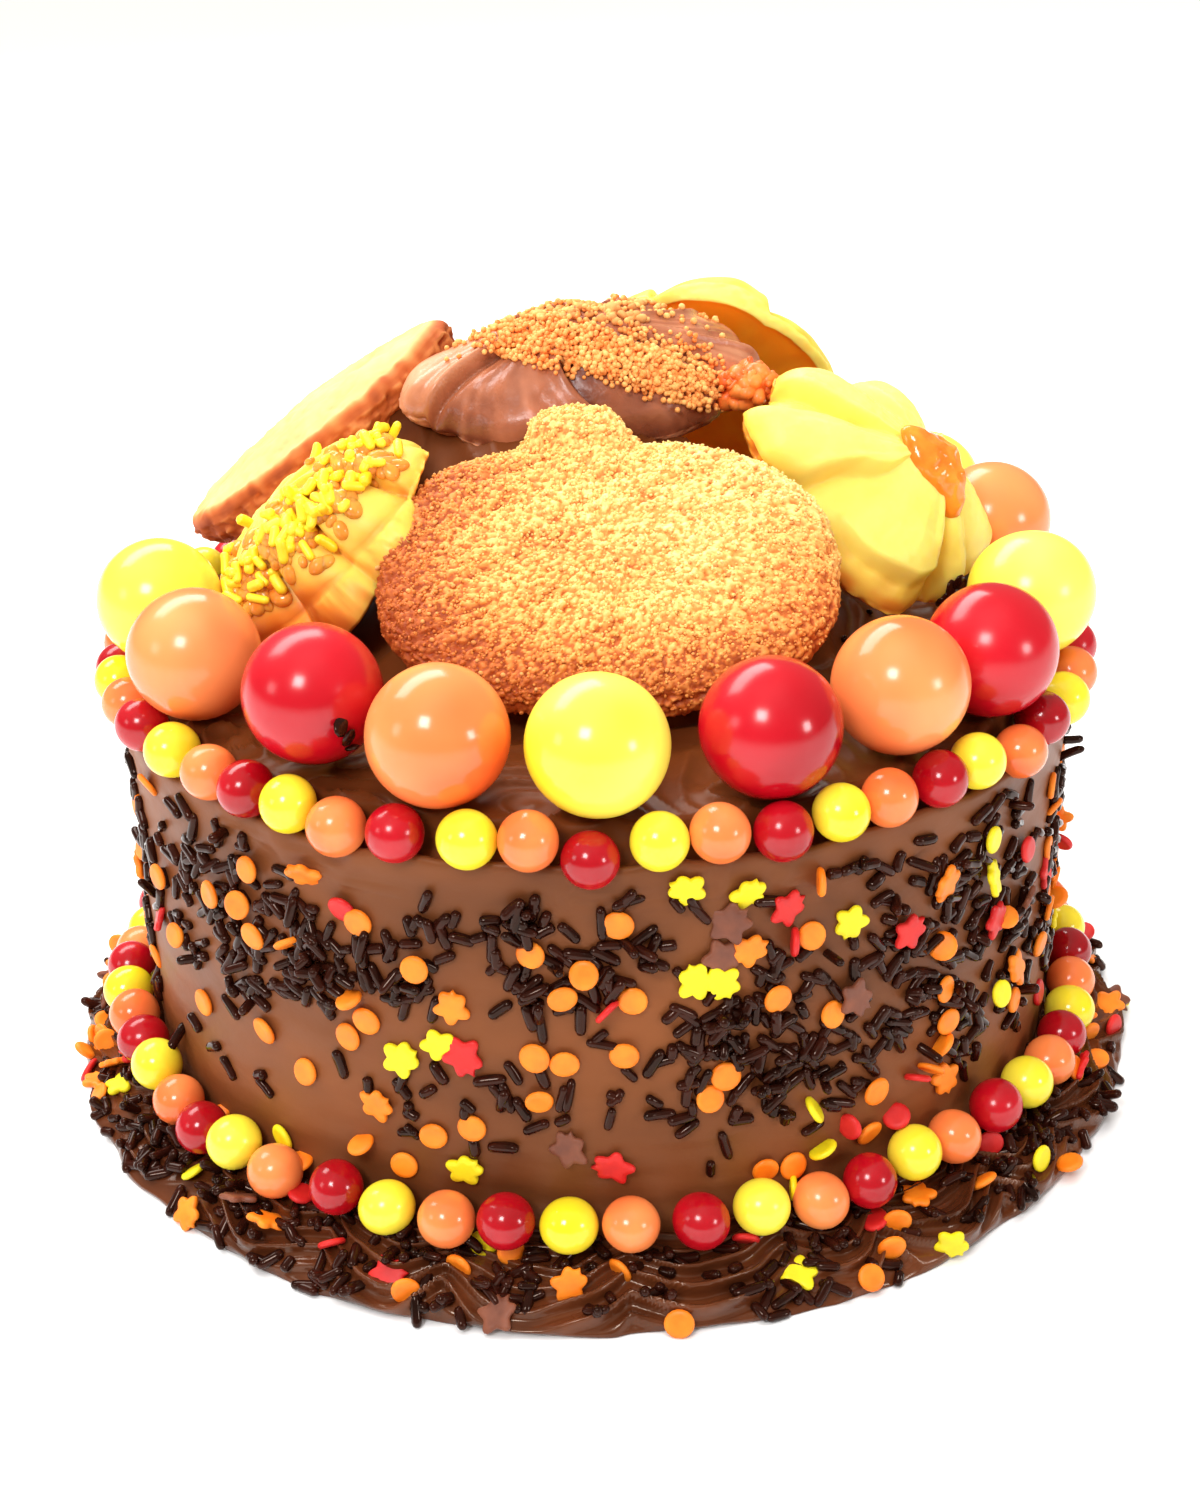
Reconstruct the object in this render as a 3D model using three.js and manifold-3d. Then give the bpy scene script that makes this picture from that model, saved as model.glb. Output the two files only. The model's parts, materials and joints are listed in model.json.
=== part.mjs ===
// A round chocolate cake: a frosted drum with a ridged border at its foot, two
// rings of small candies, a ring of gumballs on the rim, and a heap of cookies
// leaning on a low mound of frosting in the middle.
// Millimetres, +Z up, origin at the middle of the underside. Azimuth 0 is the
// front (-Y), and grows towards +X.
import * as THREE from "three";
import { mergeVertices } from "three/addons/utils/BufferGeometryUtils.js";
import Module from "manifold-3d";

const wasm = await Module();
wasm.setup();

// ---------------------------------------------------------------- sizes
const GAP = 0.35; // between pieces that touch

// the frosted drum
const WALL_R = 98.6; // wall at mid height
const TOP_Z = 92.9; // flat rim that carries the gumballs
const MOUND_R = 50; // frosting mound under the cookies
const MOUND_Z = 134;
const HEAP = { x: -33, y: 22, h: 18, s: 12.5 }; // frosting heaped under the rosette's left end
const BODY_SEGMENTS = 48;

// gumballs on the rim
const GUMBALL_R = 12.7;
const GUMBALL_RING_R = 89.24;
const GUMBALL_Z = 106.1;
// azimuth, and how far in and up from the ring each one has settled
const GUMBALLS_SEEN = [
  [-78.8, 0, 0], [-58.8, 0.5, 0], [-35.8, 2.8, 1.9], [-17.9, 0, 0], [0.1, -0.7, 0],
  [19.8, 0, 0], [38.5, 1.4, 0.9], [55.4, -0.7, 0], [75.6, -0.7, 0], [104.5, -0.7, 0],
];
const GUMBALL_REST = 7; // evenly spread round the back, up to the long cookie
const GUMBALL_LAST_AZ = 223;
const GUMBALL_COLOURS = "YOROYRORYOYROYROY";

// rings of small candies
const BEAD_R = 5.34;
const BEADS = 54;
const TOP_BEAD_RING_R = 98.7;
const TOP_BEAD_Z = 90.2;
const BASE_BEAD_RING_R = 104.6;
const BASE_BEAD_Z = 16.0;

// ridged border at the foot
const BORDER_INNER_R = 99.4;
const BORDER_OUTER_R = 116.6;
const BORDER_HEIGHT = 10.9;
const BORDER_SWEEPS = 24; // lengths of frosting laid round the foot
const BORDER_BEND = 2.4; // how far the crests of one bend outward

// colours
const CHOCOLATE = 0x8a5230;
const CHOCOLATE_DARK = 0x55301c;
const CANDY = { Y: 0xf7e21e, O: 0xf08a3c, R: 0xbe1e2d };

// cookies: apex or centre of each, the way its top faces, its size
const PUMPKIN = { at: [2.6, -34.6, 115.1], az: -2, el: 57, spin: 0, w: 90, h: 65, t: 11 };
const ROSETTE = { at: [-0.8, 21.4, 135.6], az: 6, el: 72, spin: 12, rx: 36, ry: 22.5, h: 18.5, rim: 7, petals: 7 };
const YELLOW = { at: [56.0, 4.4, 118.4], az: 54, el: 41, spin: 20, rx: 26, ry: 29.5, h: 18.5, rim: 6.5, petals: 7 };
const LEFT = { at: [-53.0, -10.4, 112.9], az: -86, el: 45, spin: -8, rx: 22.2, ry: 28.6, h: 16.5, rim: 6.5, petals: 7 };
const TAN = { at: [-56.0, 33.8, 121.0], az: -91, el: 53, spin: 0, rx: 21.5, ry: 36.5, h: 12.5, rim: 8.5, petals: 0 };
const BACK = { at: [27.5, 52.5, 129.0], az: 160, el: 28, spin: 10, rx: 29, ry: 27, h: 13, rim: 5.5, petals: 6 };
const BACK_LEFT = { at: [-16, 55.5, 108.2], az: -168, el: 47, spin: 30, rx: 22, ry: 21, h: 14, rim: 5, petals: 6 };
const BACK_RIGHT = { at: [53.0, 38.0, 103.4], az: 124, el: 68, spin: 0, rx: 14.5, ry: 12, h: 11, rim: 4.5, petals: 6 };
const JAM = { down: 4.8, tilt: 12, x: 5, y: 10.2, h: 3.2 }; // how far below the middle and how tilted, half width, half length, height
const JAM_LUMP = { at: [32.4, 12.0, 139.6], x: 6.4, y: 5.4, h: 5.2 }; // half sizes, hanging on the rosette's edge

// ---------------------------------------------------------------- helpers
const rad = THREE.MathUtils.degToRad;
const TURN = 2 * Math.PI;

// a repeatable value in -1..1 that varies smoothly with the angle
function wave(a, seed) {
  return (
    0.5 * Math.sin(3 * a + seed * 1.7) +
    0.3 * Math.sin(5 * a + seed * 2.9) +
    0.2 * Math.sin(8 * a + seed * 0.7)
  );
}

// The way a piece faces: local z along the azimuth and elevation, local x level.
function facing(az, el, spin = 0) {
  const a = rad(az), e = rad(el);
  const z = new THREE.Vector3(Math.sin(a) * Math.cos(e), -Math.cos(a) * Math.cos(e), Math.sin(e));
  const x = new THREE.Vector3(0, 0, 1).cross(z).normalize();
  const y = new THREE.Vector3().crossVectors(z, x);
  const m = new THREE.Matrix4().makeBasis(x, y, z);
  return m.multiply(new THREE.Matrix4().makeRotationZ(rad(spin)));
}

// A lathed solid about Z whose points are moved by shape({r, a, z, i}), welded shut.
function turned(profile, segments, shape) {
  const lathe = new THREE.LatheGeometry(profile.map(([r, z]) => new THREE.Vector2(r, z)), segments);
  const rows = profile.length;
  const pos = lathe.attributes.position;
  for (let k = 0; k < pos.count; k++) {
    const i = k % rows, j = Math.floor(k / rows) % segments;
    const a = (j / segments) * TURN;
    const [r, z] = profile[i];
    const p = shape ? shape({ r, a, z, i }) : { r, a, z };
    const rr = r === 0 ? 0 : p.r;
    const sx = p.sx ?? 1, sy = p.sy ?? 1;
    pos.setXYZ(k, rr * Math.cos(p.a) * sx, rr * Math.sin(p.a) * sy, p.z);
  }
  return welded(lathe, true);
}

// Only positions, shared vertices merged, collapsed faces dropped, facing out.
function welded(source, fix = false) {
  const g0 = source.clone();
  g0.deleteAttribute("normal");
  g0.deleteAttribute("uv");
  const g = mergeVertices(g0, 1e-4);
  const idx = g.index.array, keep = [];
  for (let i = 0; i < idx.length; i += 3) {
    const [a, b, c] = [idx[i], idx[i + 1], idx[i + 2]];
    if (a !== b && b !== c && a !== c) keep.push(a, b, c);
  }
  g.setIndex(keep);
  if (fix && volume(g) < 0) {
    for (let i = 0; i < keep.length; i += 3) [keep[i + 1], keep[i + 2]] = [keep[i + 2], keep[i + 1]];
    g.setIndex(keep);
  }
  return g;
}

function volume(g) {
  const p = g.attributes.position, ix = g.index.array;
  let v = 0;
  const a = new THREE.Vector3(), b = new THREE.Vector3(), c = new THREE.Vector3();
  for (let i = 0; i < ix.length; i += 3) {
    a.fromBufferAttribute(p, ix[i]);
    b.fromBufferAttribute(p, ix[i + 1]);
    c.fromBufferAttribute(p, ix[i + 2]);
    v += a.dot(b.cross(c)) / 6;
  }
  return v;
}

function toSolid(g) {
  return new wasm.Manifold(
    new wasm.Mesh({
      numProp: 3,
      vertProperties: new Float32Array(g.attributes.position.array),
      triVerts: new Uint32Array(g.index.array),
    }),
  );
}

function toGeometry(solid) {
  const m = solid.getMesh(), n = m.numProp;
  const v = new Float32Array(m.numVert * 3);
  for (let i = 0; i < m.numVert; i++) v.set(m.vertProperties.subarray(i * n, i * n + 3), i * 3);
  return new THREE.BufferGeometry()
    .setAttribute("position", new THREE.BufferAttribute(v, 3))
    .setIndex(new THREE.BufferAttribute(new Uint32Array(m.triVerts), 1));
}

function material(colour, roughness) {
  return new THREE.MeshStandardMaterial({ color: colour, roughness, metalness: 0 });
}

const cake = new THREE.Group();
function piece(name, geometry, colour, roughness, matrix) {
  const mesh = new THREE.Mesh(geometry, material(colour, roughness));
  mesh.name = name;
  if (matrix) mesh.applyMatrix4(matrix);
  cake.add(mesh);
  return mesh;
}

// ---------------------------------------------------------------- cookies
// A piped cookie: a dome cut into overlapping petals that curl round its middle.
// grow makes it larger all over, for the hollow it leaves in the frosting.
function cookieSolid(c, grow = 0) {
  const n = c.petals;
  const segments = n ? n * 4 : 32;
  const us = [0, 0.35, 0.68, 0.9, 1];
  const profile = us.map((u) => [u, 0]);
  profile.push([1.0, -1], [0.93, -2], [0, -2]);
  return turned(profile, segments, ({ r: u, a, i }) => {
    const s = n ? (((n * a) / TURN + 0.55 * (1 - u)) % 1 + 1) % 1 : 0.5;
    // slow rise over three quarters of the petal, quick fall into the crease
    const crest = n ? (s < 0.75 ? Math.sin((s / 0.75) * Math.PI * 0.5) : Math.cos(((s - 0.75) / 0.25) * Math.PI * 0.5)) : 1;
    const lobe = n ? 1 - 0.13 * (1 - crest) : 1 + 0.012 * Math.sin(5 * a);
    let z;
    if (i >= us.length) z = i === us.length ? c.rim * 0.45 - grow * 0.5 : -grow;
    else {
      const dome = c.rim + (c.h - c.rim) * (1 - Math.pow(u, 2.1));
      const groove = n ? 2.4 * (1 - crest) * Math.min(1, u * 2.4) : 0;
      z = dome - groove + grow;
    }
    const rOut = u * lobe;
    return { r: rOut, a, z, sx: c.rx + grow, sy: c.ry + grow };
  });
}

function cookieMatrix(c) {
  return new THREE.Matrix4().makeTranslation(...c.at).multiply(facing(c.az, c.el, c.spin));
}

// The pumpkin cookie: a wide round outline with two shoulders and a stem, domed.
function pumpkinSolid(c, grow = 0) {
  const segments = 44;
  const us = [0, 0.45, 0.8, 0.95, 1];
  const profile = us.map((u) => [u, 0]);
  profile.push([0.99, -1], [0.94, -2], [0, -2]);
  return turned(profile, segments, ({ r: u, a, i }) => {
    const e = 2.35;
    const cs = Math.abs(Math.cos(a)), sn = Math.abs(Math.sin(a));
    let edge = 1 / Math.pow(Math.pow(cs / (c.w / 2), e) + Math.pow(sn / (c.h / 2), e), 1 / e);
    const up = Math.atan2(Math.sin(a), Math.cos(a)) - Math.PI / 2; // 0 at the top
    // dips either side of the stem, the stem itself, and a shallow dip at the foot
    const off = Math.atan2(Math.sin(up - 0.18), Math.cos(up - 0.18));
    edge -= 1.6 * Math.exp(-Math.pow((Math.abs(off) - 0.44) / 0.14, 2));
    edge += 7.5 * Math.exp(-Math.pow(off / 0.3, 4));
    let z;
    if (i >= us.length) z = i === us.length ? c.t * 0.3 - grow * 0.5 : -grow;
    else {
      z = c.t * 0.58 + (c.t * 0.42) * (1 - Math.pow(u, 2.6)) + grow;
      if (i === us.length - 1) z = c.t * 0.42 + grow * 0.5;
    }
    return { r: u * (edge + grow), a, z };
  });
}

// ---------------------------------------------------------------- candies
const gumballPlaces = [...GUMBALLS_SEEN];
const from = GUMBALLS_SEEN[GUMBALLS_SEEN.length - 1][0];
for (let k = 1; k <= GUMBALL_REST; k++) {
  gumballPlaces.push([from + ((GUMBALL_LAST_AZ - from) * k) / GUMBALL_REST, 0.6 * (k % 2), 0]);
}
const gumballs = gumballPlaces.map(([az, inward, up], k) => {
  const a = rad(az), r = GUMBALL_RING_R - inward;
  const at = new THREE.Vector3(r * Math.sin(a), -r * Math.cos(a), GUMBALL_Z + up);
  return { at, colour: CANDY[GUMBALL_COLOURS[k]] };
});
// An icosahedron's corners lie on its sphere, so its faces stay inside it.
const gumballGeometry = welded(new THREE.IcosahedronGeometry(GUMBALL_R, 2), true);
gumballs.forEach(({ at, colour }, k) => {
  piece(
    "gumball_" + String(k + 1).padStart(2, "0"),
    gumballGeometry,
    colour,
    0.2,
    new THREE.Matrix4().makeTranslation(at.x, at.y, at.z),
  );
});

// A ring of candies that touch: the outline swells at each and narrows between two.
function beadRing(ringR, z, sides = 5) {
  const sections = BEADS * 2;
  const neck = BEAD_R * 0.62;
  const profile = [];
  for (let i = 0; i <= sides; i++) {
    const t = (i / sides) * TURN;
    profile.push([ringR + Math.cos(t), Math.sin(t)]);
  }
  const grow = 1 / Math.cos(Math.PI / (sides * 2));
  return turned(profile, sections, ({ a, i }) => {
    const j = Math.round((a / TURN) * sections);
    const size = (j % 2 ? neck : BEAD_R) * grow * 0.985;
    const t = ((i % sides) / sides) * TURN + Math.PI / sides;
    const lift = 0.35 * wave(a, ringR);
    return { r: ringR + size * Math.cos(t), a, z: z + lift + size * Math.sin(t) };
  });
}
const topRing = beadRing(TOP_BEAD_RING_R, TOP_BEAD_Z);
const baseRing = beadRing(BASE_BEAD_RING_R, BASE_BEAD_Z);
piece("top_candy_ring", topRing, CANDY.O, 0.25);
piece("base_candy_ring", baseRing, CANDY.O, 0.25);

// ---------------------------------------------------------------- border
// Long sweeps laid end to end round the foot, each with three crests that run
// along it and bend with it, and each lapping over the start of the next.
const borderProfile = [
  [0, 0], [0, 0.96], [0.14, 1], [0.28, 0.74], [0.44, 0.84], [0.57, 0.5],
  [0.72, 0.56], [0.86, 0.24], [1, 0.1], [0.97, 0], [0, 0],
];
const crest = [0, 0, 1, 0, 1, 0, 1, 0, 0, 0, 0];
const border = turned(
  borderProfile.map(([u, h]) => [BORDER_INNER_R + u * (BORDER_OUTER_R - BORDER_INNER_R), h]),
  BORDER_SWEEPS * 3,
  ({ r, a, z: h, i }) => {
    const u = (r - BORDER_INNER_R) / (BORDER_OUTER_R - BORDER_INNER_R);
    const t = ((a / TURN) * BORDER_SWEEPS) % 1; // along one sweep
    const bend = u > 0 ? BORDER_BEND * Math.sin(Math.PI * t) - BORDER_BEND / 2 : 0;
    const lap = 0.8 + 0.2 * t;
    const z = h * (BORDER_HEIGHT - 0.4) * (h < 1 ? lap : 0.9 + 0.1 * t) - (crest[i] ? 0 : 0.1 * h);
    return { r: r + bend, a, z };
  },
);
piece("piped_border", border, CHOCOLATE_DARK, 0.3);

// ---------------------------------------------------------------- cookies in place
const cookies = [
  ["chocolate_rosette_cookie", ROSETTE, 0x966a4c, 0.45],
  ["yellow_flower_cookie", YELLOW, 0xfae65a, 0.5],
  ["left_flower_cookie", LEFT, 0xf0be5a, 0.5],
  ["tan_cookie", TAN, 0xd7a06a, 0.7],
  ["back_leaf_cookie", BACK, 0xf8dc50, 0.5],
  ["back_left_flower_cookie", BACK_LEFT, 0xf0be5a, 0.5],
  ["back_right_flower_cookie", BACK_RIGHT, 0xfae65a, 0.5],
];
for (const [name, c, colour, rough] of cookies) {
  piece(name, cookieSolid(c), colour, rough, cookieMatrix(c));
}
piece("pumpkin_cookie", pumpkinSolid(PUMPKIN), 0xdc963c, 0.9, cookieMatrix(PUMPKIN));

// A blob of jam on top of the yellow cookie, and a lump beside the rosette.
function blob(x, y, h, segments = 14) {
  const profile = [[0, 1], [0.5, 0.86], [0.85, 0.5], [1, 0.1], [0.9, 0], [0, 0]];
  return turned(profile, segments, ({ r, a, z }) => ({
    r: r * (1 + 0.08 * Math.sin(2 * a + 0.6)),
    a,
    z: z * h,
    sx: x,
    sy: y,
  }));
}
const jamMatrix = cookieMatrix(YELLOW)
  .multiply(new THREE.Matrix4().makeTranslation(0, -JAM.down, YELLOW.h + GAP - 0.1))
  .multiply(new THREE.Matrix4().makeRotationX(rad(JAM.tilt)));
piece("jam_centre", blob(JAM.x, JAM.y, JAM.h), 0xe17a2c, 0.15, jamMatrix);
// The lump takes the shape of the petals that it hangs on.
function lumpGeometry(grow = 0) {
  const ball = new THREE.SphereGeometry(1, 12, 8);
  ball.scale(JAM_LUMP.x + grow, JAM_LUMP.y + grow, JAM_LUMP.h + grow);
  ball.translate(...JAM_LUMP.at);
  return welded(ball, true);
}
const lump = toSolid(lumpGeometry()).subtract(
  toSolid(cookieSolid(ROSETTE, GAP).applyMatrix4(cookieMatrix(ROSETTE))),
);
piece("jam_lump", toGeometry(lump.decompose().sort((a, b) => b.volume() - a.volume())[0]), 0xe8682c, 0.15);

// ---------------------------------------------------------------- frosted drum
const seat = BEAD_R + GAP + 0.25; // the groove that the top ring lies in
const groove = [];
for (const t of [-62, -90, -122, -150, 180]) {
  groove.push([TOP_BEAD_RING_R + seat * Math.cos(rad(t)), TOP_BEAD_Z + seat * Math.sin(rad(t))]);
}
const bodyProfile = [
  [0, 0],
  [WALL_R - 0.6, 0],
  [WALL_R, 12],
  [WALL_R + 0.1, 40],
  [WALL_R - 0.4, 70],
  [WALL_R + 0.2, 79],
  ...groove,
  [93.4, TOP_Z],
  [MOUND_R + 18, TOP_Z],
  [MOUND_R + 4, TOP_Z + 2],
  [MOUND_R - 5, TOP_Z + 11],
  [MOUND_R - 16, TOP_Z + 20],
  [MOUND_R - 30, MOUND_Z - 3],
  [0, MOUND_Z],
];
const bodyGeometry = turned(bodyProfile, BODY_SEGMENTS, ({ r, a, z, i }) => {
  const mound = r < MOUND_R + 6 && z > TOP_Z;
  const dr = mound ? 1.6 * wave(a, 2) : 0;
  const dz = mound ? 1.2 * wave(a, 9) * Math.min(1, r / 20) : 0;
  const far = (r * Math.cos(a) - HEAP.x) ** 2 + (r * Math.sin(a) - HEAP.y) ** 2;
  const heap = mound ? HEAP.h * Math.exp(-far / (2 * HEAP.s ** 2)) : 0;
  return { r: r + dr, a, z: z + dz + heap };
});
// The cookies sink a little into the mound: their hollows are cut out of it.
let body = toSolid(bodyGeometry);
const hollows = [
  ...cookies.map(([, c]) => [cookieSolid(c, GAP), cookieMatrix(c)]),
  [pumpkinSolid(PUMPKIN, GAP), cookieMatrix(PUMPKIN)],
  [lumpGeometry(GAP), new THREE.Matrix4()],
];
for (const [g, m] of hollows) {
  body = body.subtract(toSolid(g.clone().applyMatrix4(m)));
}
piece("cake_body", toGeometry(body), CHOCOLATE, 0.4);

export default cake;
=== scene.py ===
import json
import math

import bpy
import numpy as np
from mathutils import Matrix, Vector
from mathutils.bvhtree import BVHTree

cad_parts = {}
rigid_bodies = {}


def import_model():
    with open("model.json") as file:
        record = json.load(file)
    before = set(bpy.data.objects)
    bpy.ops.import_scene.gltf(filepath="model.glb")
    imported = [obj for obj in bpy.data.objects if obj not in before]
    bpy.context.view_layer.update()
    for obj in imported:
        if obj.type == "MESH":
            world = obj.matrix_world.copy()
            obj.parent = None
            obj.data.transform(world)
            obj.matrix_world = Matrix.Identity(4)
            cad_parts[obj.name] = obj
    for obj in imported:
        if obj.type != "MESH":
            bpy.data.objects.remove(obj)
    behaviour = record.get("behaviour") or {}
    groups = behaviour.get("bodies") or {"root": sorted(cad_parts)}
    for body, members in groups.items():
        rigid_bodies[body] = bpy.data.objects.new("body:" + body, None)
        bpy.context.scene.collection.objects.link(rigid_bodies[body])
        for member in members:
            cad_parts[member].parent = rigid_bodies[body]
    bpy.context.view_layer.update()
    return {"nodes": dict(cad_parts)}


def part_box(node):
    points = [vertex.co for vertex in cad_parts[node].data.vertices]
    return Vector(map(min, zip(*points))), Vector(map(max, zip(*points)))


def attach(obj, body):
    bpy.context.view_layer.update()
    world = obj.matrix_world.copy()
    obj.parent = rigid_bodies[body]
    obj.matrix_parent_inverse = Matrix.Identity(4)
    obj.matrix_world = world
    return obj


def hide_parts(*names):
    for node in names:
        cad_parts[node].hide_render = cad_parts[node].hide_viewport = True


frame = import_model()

NODES = set(frame["nodes"])

# ------------------------------------------------------------------ sizes, mm
WALL_R, TOP_Z = 98.6, 92.9
BEAD_R = 5.34
TOP_BEAD_RING_R, TOP_BEAD_Z = 98.7, 90.2
BASE_BEAD_RING_R, BASE_BEAD_Z = 104.6, 16.0
BORDER_INNER_R, BORDER_OUTER_R, BORDER_HEIGHT = 98.2, 116.6, 10.9
MOUND_R, MOUND_Z = 50.0, 134.0

PUMPKIN = dict(at=(2.6, -34.6, 115.1), az=-2, el=57, spin=0, w=90, h=65, t=11)
ROSETTE = dict(at=(-0.8, 21.4, 135.6), az=6, el=72, spin=12, rx=36, ry=22.5, h=18.5, rim=7, n=7)
YELLOW = dict(at=(56.0, 4.4, 118.4), az=54, el=41, spin=20, rx=26, ry=29.5, h=18.5, rim=6.5, n=7)
LEFT = dict(at=(-53.0, -10.4, 112.9), az=-86, el=45, spin=-8, rx=22.2, ry=28.6, h=16.5, rim=6.5, n=7)
TAN = dict(at=(-56.0, 33.8, 121.0), az=-91, el=53, spin=0, rx=21.5, ry=36.5, h=12.5, rim=8.5, n=0)
BACK = dict(at=(27.5, 52.5, 129.0), az=160, el=28, spin=10, rx=29, ry=27, h=13, rim=5.5, n=6)
BACK_LEFT = dict(at=(-16, 55.5, 108.2), az=-168, el=47, spin=30, rx=22, ry=21, h=14, rim=5, n=6)
BACK_RIGHT = dict(at=(53.0, 38.0, 103.4), az=124, el=68, spin=0, rx=14.5, ry=12, h=11, rim=4.5, n=6)

# ------------------------------------------------------------------ the camera's fit, mm
F_PX = 2120.4
CAM = np.array([0.58, -417.62, 259.39])
PITCH, ROLL = math.radians(25.203), math.radians(-1.051)
FW = np.array([0, math.cos(PITCH), -math.sin(PITCH)])
_R0 = np.array([1.0, 0, 0])
_U0 = np.cross(_R0, FW)
RV = math.cos(ROLL) * _R0 + math.sin(ROLL) * _U0
UV = -math.sin(ROLL) * _R0 + math.cos(ROLL) * _U0


def ray(px, py):
    d = FW + RV * (px - 600) / F_PX - UV * (py - 750) / F_PX
    return d / np.linalg.norm(d)


def on_cylinder(px, py, R):
    d = ray(px, py)
    a = d[0] ** 2 + d[1] ** 2
    b = 2 * (CAM[0] * d[0] + CAM[1] * d[1])
    c = CAM[0] ** 2 + CAM[1] ** 2 - R * R
    D = b * b - 4 * a * c
    if D < 0:
        return None
    p = CAM + d * ((-b - math.sqrt(D)) / (2 * a))
    return math.degrees(math.atan2(p[0], -p[1])), p[2]


def polar(az, r, z):
    a = np.radians(az)
    return np.array([r * np.sin(a), -r * np.cos(a), z])


# ------------------------------------------------------------------ noise
U64 = np.uint64


def _hash(ix, iy, iz, seed):
    m = U64(0xFFFFFFFF)
    h = (
        ix.astype(np.int64).astype(np.uint64) * U64(374761393)
        + iy.astype(np.int64).astype(np.uint64) * U64(668265263)
        + iz.astype(np.int64).astype(np.uint64) * U64(2246822519)
        + U64((seed * 974711 + 12345) & 0xFFFFFFFF)
    ) & m
    h = ((h ^ (h >> U64(13))) * U64(1274126177)) & m
    h = ((h ^ (h >> U64(15))) * U64(2654435761)) & m
    h = (h ^ (h >> U64(16))) & m
    return h.astype(np.float64) / 4294967295.0


def noise(P, scale, seed=0):
    Q = np.asarray(P, float) / scale
    i = np.floor(Q)
    f = Q - i
    f = f * f * f * (f * (f * 6 - 15) + 10)
    out = np.zeros(Q.shape[:-1])
    for dx in (0, 1):
        wx = f[..., 0] if dx else 1 - f[..., 0]
        for dy in (0, 1):
            wy = f[..., 1] if dy else 1 - f[..., 1]
            for dz in (0, 1):
                wz = f[..., 2] if dz else 1 - f[..., 2]
                out += wx * wy * wz * _hash(i[..., 0] + dx, i[..., 1] + dy, i[..., 2] + dz, seed)
    return out * 2 - 1


def fbm(P, scale, seed=0, octaves=3, gain=0.5):
    out, amp, tot = 0, 1.0, 0.0
    for k in range(octaves):
        out = out + amp * noise(P, scale / 2**k, seed + 17 * k)
        tot += amp
        amp *= gain
    return out / tot


def grains(P, size, seed=0, rmin=0.35, rmax=0.62, drop=0.0):
    """Domes round jittered points: (height over size, id of the winning grain)."""
    Q = np.asarray(P, float) / size
    i = np.floor(Q)
    best = np.zeros(Q.shape[:-1])
    ident = np.zeros(Q.shape[:-1])
    for dx in (-1, 0, 1):
        for dy in (-1, 0, 1):
            for dz in (-1, 0, 1):
                a, b, c = i[..., 0] + dx, i[..., 1] + dy, i[..., 2] + dz
                hx, hy, hz = _hash(a, b, c, seed + 1), _hash(a, b, c, seed + 2), _hash(a, b, c, seed + 3)
                r = rmin + (rmax - rmin) * _hash(a, b, c, seed + 4)
                keep = _hash(a, b, c, seed + 5) >= drop
                d2 = (a + hx - Q[..., 0]) ** 2 + (b + hy - Q[..., 1]) ** 2 + (c + hz - Q[..., 2]) ** 2
                h = np.where(keep, np.sqrt(np.maximum(0, r * r - d2)), 0)
                win = h > best
                best = np.where(win, h, best)
                ident = np.where(win, hx, ident)
    return best, ident


def smooth(a, b, x):
    t = np.clip((x - a) / (b - a), 0.0, 1.0)
    return t * t * (3 - 2 * t)


# ------------------------------------------------------------------ meshes
PIECES = {}


def mesh_object(name, V, quads=None, tris=None, attrs=None, flat=False):
    """A mesh from arrays in millimetres. attrs are values per vertex, 0..1."""
    V = np.asarray(V, float)
    parts = []
    if quads is not None and len(quads):
        parts.append(np.asarray(quads, np.int32))
    if tris is not None and len(tris):
        parts.append(np.asarray(tris, np.int32))
    # out-facing
    vol = 0.0
    for f in parts:
        a = V[f[:, 0]]
        for k in range(1, f.shape[1] - 1):
            vol += np.einsum("ij,ij->i", a, np.cross(V[f[:, k]], V[f[:, k + 1]])).sum()
    if vol < 0:
        parts = [f[:, ::-1] for f in parts]
    me = bpy.data.meshes.new(name)
    me.vertices.add(len(V))
    me.vertices.foreach_set("co", (V * 0.001).astype(np.float32).ravel())
    loops = np.concatenate([f.ravel() for f in parts]).astype(np.int32)
    sizes = np.concatenate([np.full(len(f), f.shape[1]) for f in parts])
    starts = np.concatenate([[0], np.cumsum(sizes)[:-1]]).astype(np.int32)
    me.loops.add(len(loops))
    me.polygons.add(len(sizes))
    me.polygons.foreach_set("loop_start", starts)
    me.loops.foreach_set("vertex_index", loops)
    me.update(calc_edges=True)
    me.validate()
    me.polygons.foreach_set("use_smooth", np.full(len(me.polygons), not flat))
    for key, values in (attrs or {}).items():
        at = me.attributes.new(key, "FLOAT", "POINT")
        at.data.foreach_set("value", np.asarray(values, np.float32).ravel())
    ob = bpy.data.objects.new(name, me)
    bpy.context.scene.collection.objects.link(ob)
    PIECES[name] = ob
    return ob


def grid_faces(rows, cols, base=0):
    i = np.arange(rows - 1)[:, None]
    j = np.arange(cols)[None, :]
    jn = (j + 1) % cols
    a, b, c, d = i * cols + j, i * cols + jn, (i + 1) * cols + jn, (i + 1) * cols + j
    return np.stack([a, b, c, d], -1).reshape(-1, 4) + base


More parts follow.
